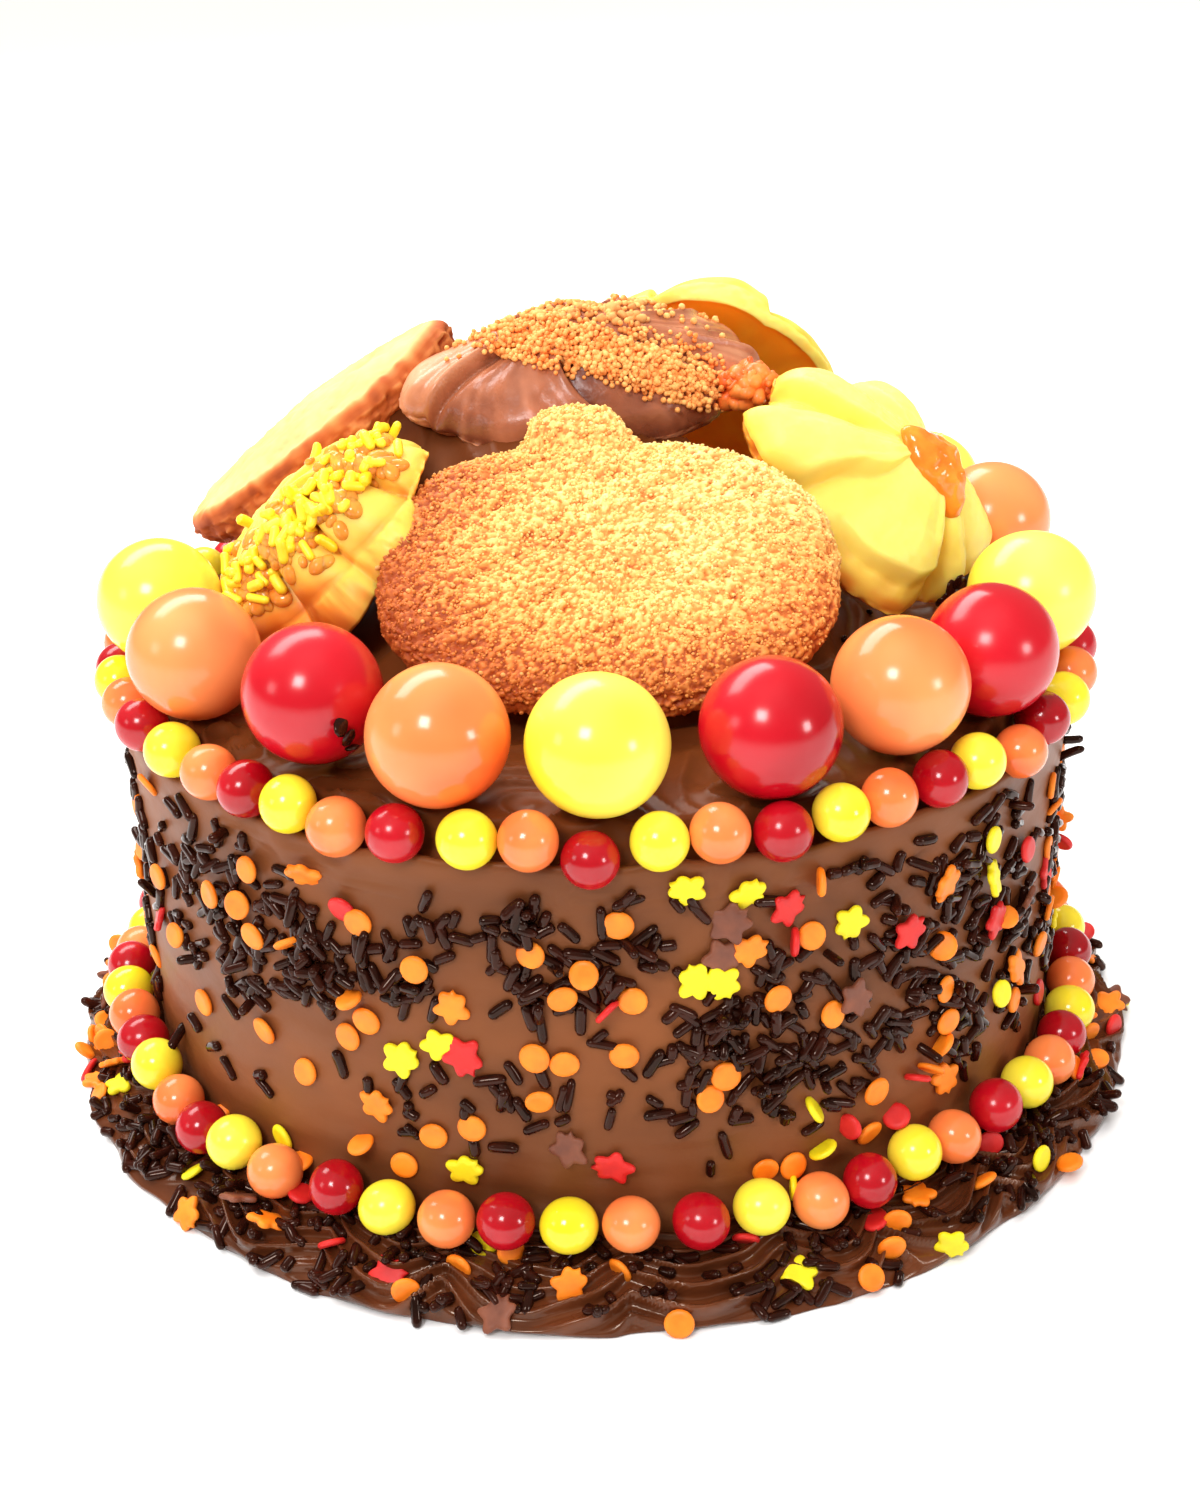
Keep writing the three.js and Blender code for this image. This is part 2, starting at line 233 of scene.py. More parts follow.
def closed(P, A=None):
    """(rows, cols, 3) points to a closed body with a pole at each end: V, quads, tris, attrs."""
    rows, cols, _ = P.shape
    V = np.concatenate([P[0].mean(0)[None], P.reshape(-1, 3), P[-1].mean(0)[None]])
    q = grid_faces(rows, cols, 1)
    j = np.arange(cols)
    jn = (j + 1) % cols
    top = np.stack([np.zeros(cols, int), 1 + jn, 1 + j], -1)
    last = 1 + (rows - 1) * cols
    bottom = np.stack([np.full(cols, len(V) - 1), last + j, last + jn], -1)
    t = np.concatenate([top, bottom])
    out = {}
    for k, v in (A or {}).items():
        out[k] = np.concatenate([[v[0].mean()], v.ravel(), [v[-1].mean()]])
    return V, q, t, out


def as_tris(q, t):
    return np.concatenate([np.asarray(q)[:, [0, 1, 2]], np.asarray(q)[:, [0, 2, 3]], np.asarray(t).reshape(-1, 3)])


def small_lathe(profile, sides, rowscale=None):
    """Profile (r, z) turned about z, both ends closed: V, tris."""
    a = np.linspace(0, 2 * np.pi, sides, endpoint=False)
    P = np.zeros((len(profile), sides, 3))
    for k, (r, z) in enumerate(profile):
        P[k, :, 0], P[k, :, 1], P[k, :, 2] = r * np.cos(a), r * np.sin(a), z
    V, q, t, _ = closed(P)
    T = as_tris(q, t)
    if np.einsum("ij,ij->i", V[T[:, 0]], np.cross(V[T[:, 1]], V[T[:, 2]])).sum() < 0:
        T = T[:, ::-1]
    return V, T


def icosphere(sub):
    import bmesh

    bm = bmesh.new()
    bmesh.ops.create_icosphere(bm, subdivisions=sub, radius=1.0)
    V = np.array([v.co[:] for v in bm.verts])
    T = np.array([[v.index for v in f.verts] for f in bm.faces])
    bm.free()
    V /= np.linalg.norm(V, axis=1)[:, None]
    return V, T


class Many:
    """Copies of small shapes joined in one mesh."""

    def __init__(self, name):
        self.name, self.V, self.T, self.A, self.n = name, [], [], {}, 0

    def add(self, shape, R, t, s=(1, 1, 1), warp=None, **attrs):
        V, T = shape
        W = V * np.asarray(s)
        if warp is not None:
            W = warp(W)
        W = W @ np.asarray(R).T + np.asarray(t)
        W[:, 2] += max(0.0, 0.05 - W[:, 2].min())
        self.V.append(W)
        self.T.append(T + self.n)
        for k, v in attrs.items():
            self.A.setdefault(k, []).append(np.full(len(V), v) if np.isscalar(v) else np.asarray(v))
        self.n += len(V)

    def build(self, flat=False):
        if not self.V:
            return None
        A = {k: np.concatenate(v) for k, v in self.A.items()}
        return mesh_object(self.name, np.concatenate(self.V), tris=np.concatenate(self.T), attrs=A, flat=flat)


def basis(normal, spin=0.0, up=(0, 0, 1)):
    """Columns x, y, z with z along the normal; x turned by spin in the plane."""
    z = np.asarray(normal, float)
    z = z / np.linalg.norm(z)
    x = np.cross(up, z)
    if np.linalg.norm(x) < 1e-6:
        x = np.array([1.0, 0, 0])
    x = x / np.linalg.norm(x)
    y = np.cross(z, x)
    c, s = math.cos(spin), math.sin(spin)
    return np.stack([c * x + s * y, -s * x + c * y, z], 1)


def facing(c):
    a, e = math.radians(c["az"]), math.radians(c["el"])
    z = np.array([math.sin(a) * math.cos(e), -math.cos(a) * math.cos(e), math.sin(e)])
    return basis(z, math.radians(c["spin"]))


class Surface:
    """Ray casts against the finished meshes, in millimetres."""

    def __init__(self, *objects):
        V, F, n = [], [], 0
        for o in objects:
            me = o.data
            v = np.empty(len(me.vertices) * 3)
            me.vertices.foreach_get("co", v)
            me.calc_loop_triangles()
            t = np.empty(len(me.loop_triangles) * 3, np.int32)
            me.loop_triangles.foreach_get("vertices", t)
            V.append(v.reshape(-1, 3) * 1000)
            F.append(t.reshape(-1, 3) + n)
            n += len(me.vertices)
        self.tree = BVHTree.FromPolygons(np.concatenate(V).tolist(), np.concatenate(F).tolist())

    def cast(self, origin, direction):
        hit, n, _, _ = self.tree.ray_cast(Vector(origin), Vector(direction).normalized())
        if hit is None:
            return None
        n = np.array(n)
        if np.dot(n, np.asarray(direction, float)) > 0:
            n = -n
        return np.array(hit), n

    def pixel(self, px, py):
        return self.cast(CAM, ray(px, py))

    def inward(self, az, z, start=170):
        p = polar(az, start, z)
        return self.cast(p, -polar(az, 1, 0))

    def down(self, x, y, start=220):
        return self.cast((x, y, start), (0, 0, -1))


# ------------------------------------------------------------------ materials
def lin(r, g, b):
    def f(v):
        v /= 255
        return v / 12.92 if v <= 0.04045 else ((v + 0.055) / 1.055) ** 2.4

    return (f(r), f(g), f(b), 1.0)


def material(
    name, light, dark, scale=60.0, rough=(0.35, 0.55), bump=0.1, bump_scale=400.0, bump_depth=0.0002,
    coat=0.0, coat_rough=0.08, sss=0.0, sss_radius=(1.0, 0.4, 0.15), sss_scale=0.003, stretch=(1, 1, 1),
    attribute=None, ramp=None, spec=0.5, sheen=0.0, transmission=0.0, detail=3.0, bump_detail=3.0,
    spec_tint=(1, 1, 1, 1),
):
    """Base colour between light and dark by a noise, or along ramp by a vertex attribute mixed with the noise."""
    m = bpy.data.materials.new(name)
    m.use_nodes = True
    nt = m.node_tree
    nt.nodes.clear()
    out = nt.nodes.new("ShaderNodeOutputMaterial")
    b = nt.nodes.new("ShaderNodeBsdfPrincipled")
    nt.links.new(b.outputs[0], out.inputs[0])
    co = nt.nodes.new("ShaderNodeTexCoord")
    mp = nt.nodes.new("ShaderNodeMapping")
    mp.inputs["Scale"].default_value = stretch
    nt.links.new(co.outputs["Object"], mp.inputs[0])
    nz = nt.nodes.new("ShaderNodeTexNoise")
    nz.inputs["Scale"].default_value = scale
    nz.inputs["Detail"].default_value = detail
    nt.links.new(mp.outputs[0], nz.inputs["Vector"])
    rp = nt.nodes.new("ShaderNodeValToRGB")
    rp.color_ramp.elements[0].position, rp.color_ramp.elements[1].position = 0.32, 0.68
    rp.color_ramp.elements[0].color, rp.color_ramp.elements[1].color = dark, light
    nt.links.new(nz.outputs["Fac"], rp.inputs[0])
    colour = rp.outputs[0]
    if attribute:
        at = nt.nodes.new("ShaderNodeAttribute")
        at.attribute_name = attribute
        r2 = nt.nodes.new("ShaderNodeValToRGB")
        els = r2.color_ramp.elements
        els[0].position, els[0].color = ramp[0]
        els[1].position, els[1].color = ramp[-1]
        for p, c in ramp[1:-1]:
            e = els.new(p)
            e.color = c
        nt.links.new(at.outputs["Fac"], r2.inputs[0])
        mx = nt.nodes.new("ShaderNodeMix")
        mx.data_type, mx.blend_type = "RGBA", "MULTIPLY"
        mx.inputs[0].default_value = 1.0
        nt.links.new(r2.outputs[0], mx.inputs[6])
        nt.links.new(colour, mx.inputs[7])
        colour = mx.outputs[2]
    nt.links.new(colour, b.inputs["Base Color"])
    mr = nt.nodes.new("ShaderNodeMapRange")
    mr.inputs["From Min"].default_value, mr.inputs["From Max"].default_value = 0.3, 0.7
    mr.inputs["To Min"].default_value, mr.inputs["To Max"].default_value = rough
    nt.links.new(nz.outputs["Fac"], mr.inputs["Value"])
    nt.links.new(mr.outputs[0], b.inputs["Roughness"])
    n2 = nt.nodes.new("ShaderNodeTexNoise")
    n2.inputs["Scale"].default_value = bump_scale
    n2.inputs["Detail"].default_value = bump_detail
    nt.links.new(mp.outputs[0], n2.inputs["Vector"])
    bp = nt.nodes.new("ShaderNodeBump")
    bp.inputs["Strength"].default_value = bump
    bp.inputs["Distance"].default_value = bump_depth
    nt.links.new(n2.outputs["Fac"], bp.inputs["Height"])
    nt.links.new(bp.outputs[0], b.inputs["Normal"])
    b.inputs["Coat Weight"].default_value = coat
    b.inputs["Coat Roughness"].default_value = coat_rough
    b.inputs["Specular IOR Level"].default_value = spec
    b.inputs["Specular Tint"].default_value = spec_tint
    b.inputs["Sheen Weight"].default_value = sheen
    b.inputs["Transmission Weight"].default_value = transmission
    if sss:
        b.inputs["Subsurface Weight"].default_value = sss
        b.inputs["Subsurface Radius"].default_value = sss_radius
        b.inputs["Subsurface Scale"].default_value = sss_scale
    return m


WHITE = (1, 1, 1, 1)
M = {}
M["frosting"] = material(
    "frosting", lin(132, 75, 40), lin(97, 53, 28), scale=18, rough=(0.36, 0.52), bump=0.5, bump_scale=260,
    bump_depth=0.0002, stretch=(1, 1, 1.6), spec=0.24, spec_tint=(1, 0.8, 0.62, 1),
)
M["dark_frosting"] = material(
    "dark_frosting", lin(100, 50, 25), lin(64, 29, 14), scale=60, rough=(0.16, 0.28), bump=0.3, bump_scale=300,
    bump_depth=0.0002, stretch=(1, 1, 1.6), spec=0.4, spec_tint=(1, 0.76, 0.56, 1), coat=0.2, coat_rough=0.1,
)
CANDY = {
    "Y": (lin(255, 244, 104), lin(254, 226, 40)),
    "O": (lin(255, 166, 100), lin(245, 106, 50)),
    "R": (lin(202, 14, 34), lin(158, 4, 18)),
}
for key, (a, b) in CANDY.items():
    M["gum" + key] = material(
        "gumball_" + {"Y": "yellow", "O": "orange", "R": "red"}[key], a, b, scale=30, rough=(0.13, 0.26), bump=0.14,
        bump_scale=140, bump_depth=0.0003, spec=0.5, detail=2,
    )
SMALL = {
    "Y": (lin(255, 238, 72), lin(242, 216, 30)),
    "O": (lin(252, 148, 82), lin(236, 100, 46)),
    "R": (lin(190, 12, 30), lin(146, 4, 16)),
}
for key, (a, b) in SMALL.items():
    M["small" + key] = material(
        "small_candy_" + {"Y": "yellow", "O": "orange", "R": "red"}[key], a, b, scale=55, rough=(0.12, 0.24), bump=0.16,
        bump_scale=200, bump_depth=0.0003, spec=0.5, detail=2,
    )
M["jimmies"] = material(
    "chocolate_jimmies", lin(50, 17, 9), lin(24, 8, 5), scale=180, rough=(0.08, 0.16), bump=0.12, bump_scale=500,
    spec=0.22, spec_tint=(1, 0.7, 0.55, 1), coat=0.08, coat_rough=0.05,
)
CONFETTI = {
    "orange": (lin(255, 142, 30), lin(246, 118, 14)),
    "yellow": (lin(248, 232, 30), lin(238, 212, 18)),
    "red": (lin(220, 40, 34), lin(196, 24, 26)),
    "brown": (lin(132, 74, 50), lin(100, 52, 34)),
}
for key, (a, b) in CONFETTI.items():
    M["confetti_" + key] = material(
        "confetti_" + key, a, b, scale=220, rough=(0.4, 0.6), bump=0.35, bump_scale=900, bump_depth=0.0001, spec=0.4,
    )
M["sugar"] = material(
    "sugared_crust", lin(255, 254, 246), lin(248, 226, 190), scale=800, rough=(0.4, 0.7), bump=0.8, bump_scale=1500,
    bump_depth=0.0002, attribute="tone", spec=0.35,
    ramp=[
        (0.0, lin(164, 74, 28)), (0.25, lin(206, 116, 54)), (0.5, lin(236, 168, 92)), (0.75, lin(248, 206, 128)),
        (1.0, lin(255, 232, 168)),
    ],
)
M["yellow_icing"] = material(
    "yellow_icing", lin(255, 252, 240), lin(250, 240, 216), scale=70, rough=(0.36, 0.52), bump=0.35, bump_scale=700,
    bump_depth=0.00015, attribute="tone", spec=0.3, sss=0.5, sss_radius=(1.0, 0.62, 0.16), sss_scale=0.005,
    ramp=[
        (0.0, lin(196, 100, 22)), (0.3, lin(236, 158, 56)), (0.62, lin(252, 220, 98)), (1.0, lin(255, 242, 140)),
    ],
)
# a brighter, more orange copy of the yellow icing: the baked underside's colour, brightened as painted bounce light
# where it lies in shade
M["back_icing"] = material(
    "back_icing", lin(255, 252, 240), lin(250, 240, 216), scale=70, rough=(0.36, 0.52), bump=0.35, bump_scale=700,
    bump_depth=0.00015, attribute="tone", spec=0.2, sss=0.5, sss_radius=(1.0, 0.62, 0.16), sss_scale=0.005,
    ramp=[
        (0.0, lin(255, 150, 28)), (0.3, lin(255, 170, 46)), (0.62, lin(252, 216, 96)), (1.0, lin(255, 242, 140)),
    ],
)
M["amber_icing"] = material(
    "amber_icing", lin(255, 250, 236), lin(250, 236, 210), scale=70, rough=(0.34, 0.5), bump=0.35, bump_scale=700,
    bump_depth=0.00015, attribute="tone", spec=0.3, sss=0.5, sss_radius=(1.0, 0.6, 0.16), sss_scale=0.005,
    ramp=[
        (0.0, lin(200, 96, 26)), (0.35, lin(238, 150, 60)), (0.65, lin(250, 204, 92)), (1.0, lin(255, 230, 118)),
    ],
)
M["biscuit"] = material(
    "biscuit", lin(255, 248, 236), lin(240, 224, 196), scale=80, rough=(0.6, 0.85), bump=0.5, bump_scale=800,
    bump_depth=0.0002, attribute="tone", spec=0.35,
    ramp=[
        (0.0, lin(140, 58, 24)), (0.3, lin(190, 98, 50)), (0.6, lin(222, 150, 90)), (1.0, lin(246, 208, 152)),
    ],
)
M["coating"] = material(
    "chocolate_coating", lin(240, 176, 136), lin(208, 140, 102), scale=90, rough=(0.22, 0.36), bump=0.7, bump_scale=620,
    bump_depth=0.0002, attribute="tone", spec=0.5, detail=5, bump_detail=5,
    ramp=[(0.0, lin(112, 70, 56)), (0.5, lin(198, 168, 154)), (1.0, WHITE)],
)
M["nonpareils"] = material(
    "orange_nonpareils", lin(255, 200, 120), lin(240, 140, 62), scale=300, rough=(0.4, 0.6), bump=0.2, bump_scale=900,
    spec=0.3,
)
M["jam"] = material(
    "apricot_jam", lin(252, 158, 52), lin(238, 122, 32), scale=200, rough=(0.06, 0.16), bump=0.3, bump_scale=300,
    bump_depth=0.0003, spec=0.5, sss=0.35, sss_radius=(1.0, 0.55, 0.15), sss_scale=0.003,
)
M["yellow_jimmies"] = material(
    "yellow_jimmies", lin(255, 240, 60), lin(254, 222, 30), scale=200, rough=(0.35, 0.5), bump=0.2, bump_scale=600,
    coat=0.2, coat_rough=0.2,
)
M["caramel"] = material(
    "caramel_band", lin(246, 172, 70), lin(226, 128, 44), scale=240, rough=(0.08, 0.2), bump=0.3, bump_scale=300,
    bump_depth=0.0003, spec=0.5, sss=0.4, sss_radius=(1.0, 0.6, 0.15), sss_scale=0.003,
)
M["orange_jimmies"] = material(
    "orange_jimmies", lin(250, 146, 62), lin(234, 96, 34), scale=200, rough=(0.35, 0.5), bump=0.2, bump_scale=600,
    coat=0.2, coat_rough=0.2,
)
M["crumbs"] = material(
    "biscuit_crumbs", lin(240, 178, 104), lin(206, 128, 62), scale=300, rough=(0.7, 0.9), bump=0.6, bump_scale=900,
    bump_depth=0.0002,
)


def finish_piece(ob, mat, slot, *replaced):
    ob.data.materials.append(M[mat])
    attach(ob, "root")
    if replaced:
        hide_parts(*replaced)
    return ob


# ------------------------------------------------------------------ frosted drum
def wall_radius(az, z):
    """Radius of the finished wall, az in radians."""
    base = np.interp(z, [0, 12, 40, 70, 79, 90], [98.0, 98.6, 98.7, 98.3, 98.8, 100.0])
    P = np.stack([100 * np.sin(az), -100 * np.cos(az), z * 1.6], -1)
    sweep = 0.45 * noise(P, 46, 3) + 0.22 * noise(P * [1, 1, 2.4], 17, 5)
    # faint steps where one stroke of the spatula laps the last
    lap = z + 5.0 * noise(P * [1, 1, 0], 60, 8)
    step = ((lap / 19.0) % 1.0)
    step = 0.26 * (step - smooth(0.9, 1.0, step)) * (0.5 + 0.5 * noise(P, 30, 11))
    fine = 0.05 * noise(P * [0.5, 0.5, 3], 5, 12)
    # ridges smeared up against the candies
    bent = P * [1, 1, 2.0] + 3.0 * noise(P, 11, 16)[..., None]
    smear = np.clip(1 - 4.5 * np.abs(noise(bent, 13, 13)), 0, 1) * smooth(74, 81, z) * smooth(-0.3, 0.3, noise(P, 24, 17))
    return base + sweep + step + fine + 0.7 * smear


def build_wall():
    cols = 760
    a = np.linspace(0, 2 * np.pi, cols, endpoint=False)
    zs = np.concatenate([[0.0, 0.15, 0.5, 1.2], np.linspace(2.2, 84.2, 98)])
    A, Z = np.meshgrid(a, zs)
    R = wall_radius(A, Z)
    R[0] = R[1] - 0.5
    P = np.stack([R * np.sin(A), -R * np.cos(A), Z], -1)
    # the upper edge rolls over unevenly where the candies were pressed in
    ring = P[-1] * [1, 1, 0]
    high = 1.0 * noise(ring, 12, 14) + 0.5 * noise(ring, 4.5, 15)
    roll = []
    for dr, dz, k in (
        (0.03, 0.8, 0.1), (0.03, 1.5, 0.35), (-0.2, 2.1, 0.7), (-0.7, 2.5, 1), (-1.4, 2.4, 1), (-2.0, 1.4, 1), (-3.0, -3.0, 1),
    ):
        f = (R[-1] + dr + 0.3 * k * high) / R[-1]
        roll.append(P[-1] * [1, 1, 0] * f[:, None] + np.stack([0 * f, 0 * f, Z[-1] + dz + k * high * (dz > 0)], -1))
    lid = []
    for f in (0.94, 0.7, 0.35, 0.02):
        lid.append(P[-1] * [f, f, 0] + [0, 0, 80])
    P = np.concatenate([P, np.array(roll)])
    base = []
    for f in (0.02, 0.35, 0.7, 0.97):
        base.append(P[0] * [f, f, 1])
    P = np.concatenate([np.array(base), P, np.array(lid)])
    V, q, t, _ = closed(P)
    ob = mesh_object("frosting_wall", V, q, t)
    return finish_piece(ob, "frosting", "milk_chocolate_frosting", "cake_body")


def rim_profile():
    """(r, z) from the lip under the candies over the rim to the edge of the top."""
    pts = [(93.0, 81.0), (94.6, 81.2), (96.0, 82.0), (97.2, 83.2)]
    seat = BEAD_R + 0.5
    for t in np.linspace(-96, -180, 12):
        pts.append((TOP_BEAD_RING_R + seat * math.cos(math.radians(t)), TOP_BEAD_Z + seat * math.sin(math.radians(t))))
    pts += [(92.8, 92.2), (92.0, TOP_Z)]
    return pts


def build_top():
    cols = 720
    a = np.linspace(0, 2 * np.pi, cols, endpoint=False)
    pts = rim_profile()
    edge = len(pts)
    rs = list(np.linspace(91.4, 20, 86)) + list(np.linspace(19, 0.6, 12))
    for r in rs:
        z = np.interp(r, [0, 20, 34, 45, 54, 68, 92], [134, 131, 112.9, 103.9, 94.9, 92.9, 92.9])
        pts.append((r, float(z)))
    prof = np.array(pts)
    R = np.repeat(prof[:, 0][:, None], cols, 1)
    Z = np.repeat(prof[:, 1][:, None], cols, 1)
    A = np.repeat(a[None], len(prof), 0)
    P = np.stack([R * np.sin(A), -R * np.cos(A), Z], -1)
    flat = P * [1, 1, 0.0]
    # folds that the spatula left on the rim: arcs round centres on the ring, warped
    warp = flat + 3.2 * np.stack([noise(flat, 14, 31), noise(flat, 14, 32), 0 * R], -1)
    ph = np.zeros_like(R)
    for k in range(26):
        c = polar(k * 360 / 26 + 7 * math.sin(k * 2.1), 97 - 9 * (k % 3), 0)
        d = np.linalg.norm(warp - c, axis=-1)
        w = np.exp(-((d / 15.0) ** 2))
        ph += w * np.sin(d / 1.75 + k)
    ridge = np.clip(ph, -1, 1)
    ridge = 2.5 * (1 - np.abs(ridge) ** 0.6) * smooth(62, 74, R) * (0.7 + 0.5 * noise(flat, 12, 37))
    swirl = R * 0.33 + A * 3.0 + 2.6 * noise(flat, 16, 41)
    mound = (1 - np.abs(np.sin(swirl)) ** 0.8) * 1.8 * (1 - smooth(62, 78, R)) * smooth(2, 14, R)
    soft = 0.9 * noise(P, 22, 43) * smooth(4, 20, R)
    # a heap of dark frosting raised into the gap left of the rosette: partly the mound's frosting, partly a dark mass
    # put in for the shade there
    shadow_gap_heap = 31.5 * np.exp(-((P[..., 0] + 39) ** 2 + (P[..., 1] - 21) ** 2) / (2 * 13.8**2))
    on_top = np.zeros_like(R)
    on_top[edge - 1 :] = 1
    on_top[edge - 2] = 0.5
    seatmask = np.zeros_like(R)
    seatmask[4 : edge - 2] = 1
    dz = (ridge + mound + soft * 0.8 + shadow_gap_heap) * on_top
    # inside the mound stay a little under the cookies that lie on it
    Z2 = Z + dz - 0.9 * on_top
    lip = np.zeros_like(R)
    lip[0:1] = 0.5
    R2 = R + lip * (0.75 * noise(P, 13, 45) + 0.4 * noise(P, 5, 46) - 0.25)
    Z2 = Z2 + lip * (1.5 * noise(P * [1, 1, 0], 14, 47) + 0.7 * noise(P * [1, 1, 0], 5, 48))
    P = np.stack([R2 * np.sin(A), -R2 * np.cos(A), Z2], -1)
    under = [P[0] * [f, f, 0] + [0, 0, 84.5] for f in (0.02, 0.4, 0.8, 0.97)]
    P = np.concatenate([np.array(under), P])
    V, q, t, _ = closed(P)
    ob = mesh_object("frosting_top", V, q, t)
    return finish_piece(ob, "dark_top", "milk_chocolate_frosting", "cake_body")


# the top's frosting is a darker copy of the wall's milk chocolate frosting: painted shade between the cookies and
# candies
M["dark_top"] = material(
    "top_frosting", lin(118, 60, 26), lin(78, 36, 15), scale=40, rough=(0.28, 0.44), bump=0.4, bump_scale=300,
    bump_depth=0.0002, spec=0.14, spec_tint=(1, 0.75, 0.55, 1),
)


def build_border():
    cols, rows = 1000, 74
    a = np.linspace(0, 2 * np.pi, cols, endpoint=False)
    s = np.linspace(0, 1, rows)
    A, S = np.meshgrid(a, s)
    circ = np.stack([105 * np.sin(A), -105 * np.cos(A), S * 18], -1)
    flat = circ * [1, 1, 0]
    t = (A / (2 * np.pi) * 24 + 0.35 * noise(flat, 30, 51)) % 1.0
    bend = 4.4 * np.sin(np.pi * t) + 2.4 * noise(flat, 19, 52) + 1.1 * noise(circ, 7, 53)
    r0 = BORDER_INNER_R + S * (BORDER_OUTER_R - BORDER_INNER_R)
    H = (BORDER_HEIGHT - 1.6) * (1 - S**1.7) ** 0.85
    ph = (S * 18.4 - bend * 0.9) / 3.3
    saw = ph % 1.0
    crest = np.where(saw < 0.78, (saw / 0.78) ** 2.2, 1 - smooth(0.78, 1.0, saw))
    live = np.clip(0.75 + 0.75 * noise(circ, 16, 55), 0.1, 1.25) * (1 - smooth(0.84, 1.0, S))
    fine = (1 - np.abs(np.sin(ph * 2 * np.pi * 2.0 + 3 * noise(circ, 9, 58))) ** 0.7) * 0.35
    up = 2.9 * crest * live + fine * live + 0.7 * noise(circ, 13, 56)
    out = 1.2 * crest * live
    r = r0 + out + 0.6 * bend * S - 1.3 * S
    foot = smooth(0.9, 1.0, S)
    r = r * (1 - foot) + (BORDER_OUTER_R - 1.0 + 0.9 * noise(flat, 15, 57) + 0.5 * noise(flat, 5, 59)) * foot
    z = H + up * (1 - foot)
    z = np.maximum(z, 0.25 + 0.9 * (1 - smooth(0.93, 1.0, S)))
    P = np.stack([r * np.sin(A), -r * np.cos(A), z], -1)
    rin = np.full(cols, 97.0)
    ring = lambda rr, zz: np.stack([rr * np.sin(a), -rr * np.cos(a), np.full(cols, zz)], -1)
    P = np.concatenate([ring(rin, 0.0)[None], ring(rin, 6.0)[None], P, ring(r[-1] - 0.3, 0.0)[None]])
    V = P.reshape(-1, 3)
    q = grid_faces(P.shape[0] + 1, cols)
    q = np.where(q >= len(V), q - len(V), q)
    ob = mesh_object("border_frosting", V, q)
    return finish_piece(ob, "dark_frosting", "dark_chocolate_frosting", "piped_border")


wall = build_wall()
top = build_top()
border = build_border()

# ------------------------------------------------------------------ gumballs and small candies
rng = np.random.default_rng(11)
BALL5, BALL4, BALL2 = icosphere(5), icosphere(4), icosphere(2)
GUMBALL_COLOURS = "YOROYRORYOYROYROY"


def lumpy(seed, amount, scale):
    def f(W):
        return W * (1 + amount * noise(W + seed * 37.0, scale, seed))[:, None]

    return f


gum = {k: Many("gumballs_" + n) for k, n in (("Y", "yellow"), ("O", "orange"), ("R", "red"))}
gum_nodes = {"Y": [], "O": [], "R": []}
for k, col in enumerate(GUMBALL_COLOURS):
    node = "gumball_%02d" % (k + 1)
    lo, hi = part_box(node)
    c = (np.array(lo) + np.array(hi)) * 500
    R = basis(rng.normal(size=3), rng.uniform(0, 6))
    s = 12.7 * (1 + rng.uniform(-0.012, 0.008, 3))
    gum[col].add(BALL5, R, c, s, warp=lumpy(k + 1, 0.006, 9.0))
    gum_nodes[col].append(node)
for k, slot in (("Y", "candy_yellow"), ("O", "candy_orange"), ("R", "candy_red")):
    finish_piece(gum[k].build(), "gum" + k, slot, *gum_nodes[k])

# where the camera sees each small candy: pixel, in order from the left
TOP_SEEN = [
    (122, 680), (128, 690), (143, 712), (172, 748), (210, 750), (246, 769), (283, 801), (335, 826), (395, 833),
    (467, 839), (528, 838), (590, 860), (660, 842), (720, 828), (784, 832), (843, 807), (888, 789), (943, 776),
    (978, 752), (1019, 751), (1043, 718), (1058, 690),
]
BASE_SEEN = [
    (131, 937), (122, 963), (128, 1001), (133, 1028), (152, 1055), (170, 1090), (189, 1126), (234, 1142), (275, 1172),
    (336, 1187), (387, 1207), (447, 1218), (506, 1220), (569, 1226), (631, 1223), (701, 1220), (762, 1207),
    (822, 1200), (868, 1180), (915, 1145), (955, 1137), (994, 1102), (1027, 1082), (1049, 1055), (1052, 1018),
    (1075, 996), (1067, 957),
]


def candy_ring(seen, R, z0, anchor, total, first_az, last_az):
    """Azimuth, height and colour of every candy of a ring; those seen follow the photo, the rest carry on round."""
    out = []
    n = len(seen)
    for k, (px, py) in enumerate(seen):
        p = on_cylinder(px, py, R)
        step = (last_az - first_az) / (n - 1)
        if p is None or abs(p[0]) > 60:
            az = first_az + step * k
            d = ray(px, py)
            u = polar(az, R, 0)
            t = np.dot(u[:2] - CAM[:2], d[:2]) / np.dot(d[:2], d[:2])
            z = (CAM + d * t)[2]
            if p is not None and abs(p[0]) < 72:
                az = 0.5 * az + 0.5 * p[0]
        else:
            az, z = p
        out.append([az, float(np.clip(z, z0 - 2.0, z0 + 2.0)), "YOR"[(k - anchor) % 3]])
    rest = total - n
    a1, a0 = out[-1][0], out[0][0] + 360
    for k in range(1, rest + 1):
        az = a1 + (a0 - a1) * k / (rest + 1) + rng.uniform(-0.7, 0.7)
        out.append([az, z0 + rng.uniform(-0.9, 0.9), "YOR"[(n - 1 + k - anchor) % 3]])
    # ease apart the ones that would cut into each other
    for _ in range(60):
        for i in range(len(out)):
            a, b = out[i], out[(i + 1) % len(out)]
            da = (b[0] - a[0]) % 360
            if da > 180:
                da -= 360
            d = math.hypot(math.radians(da) * R, b[1] - a[1])
            need = 2 * BEAD_R * 0.985
            if d < need:
                push = math.degrees((need - d) / 2 / R)
                a[0] -= push
                b[0] += push
    return out


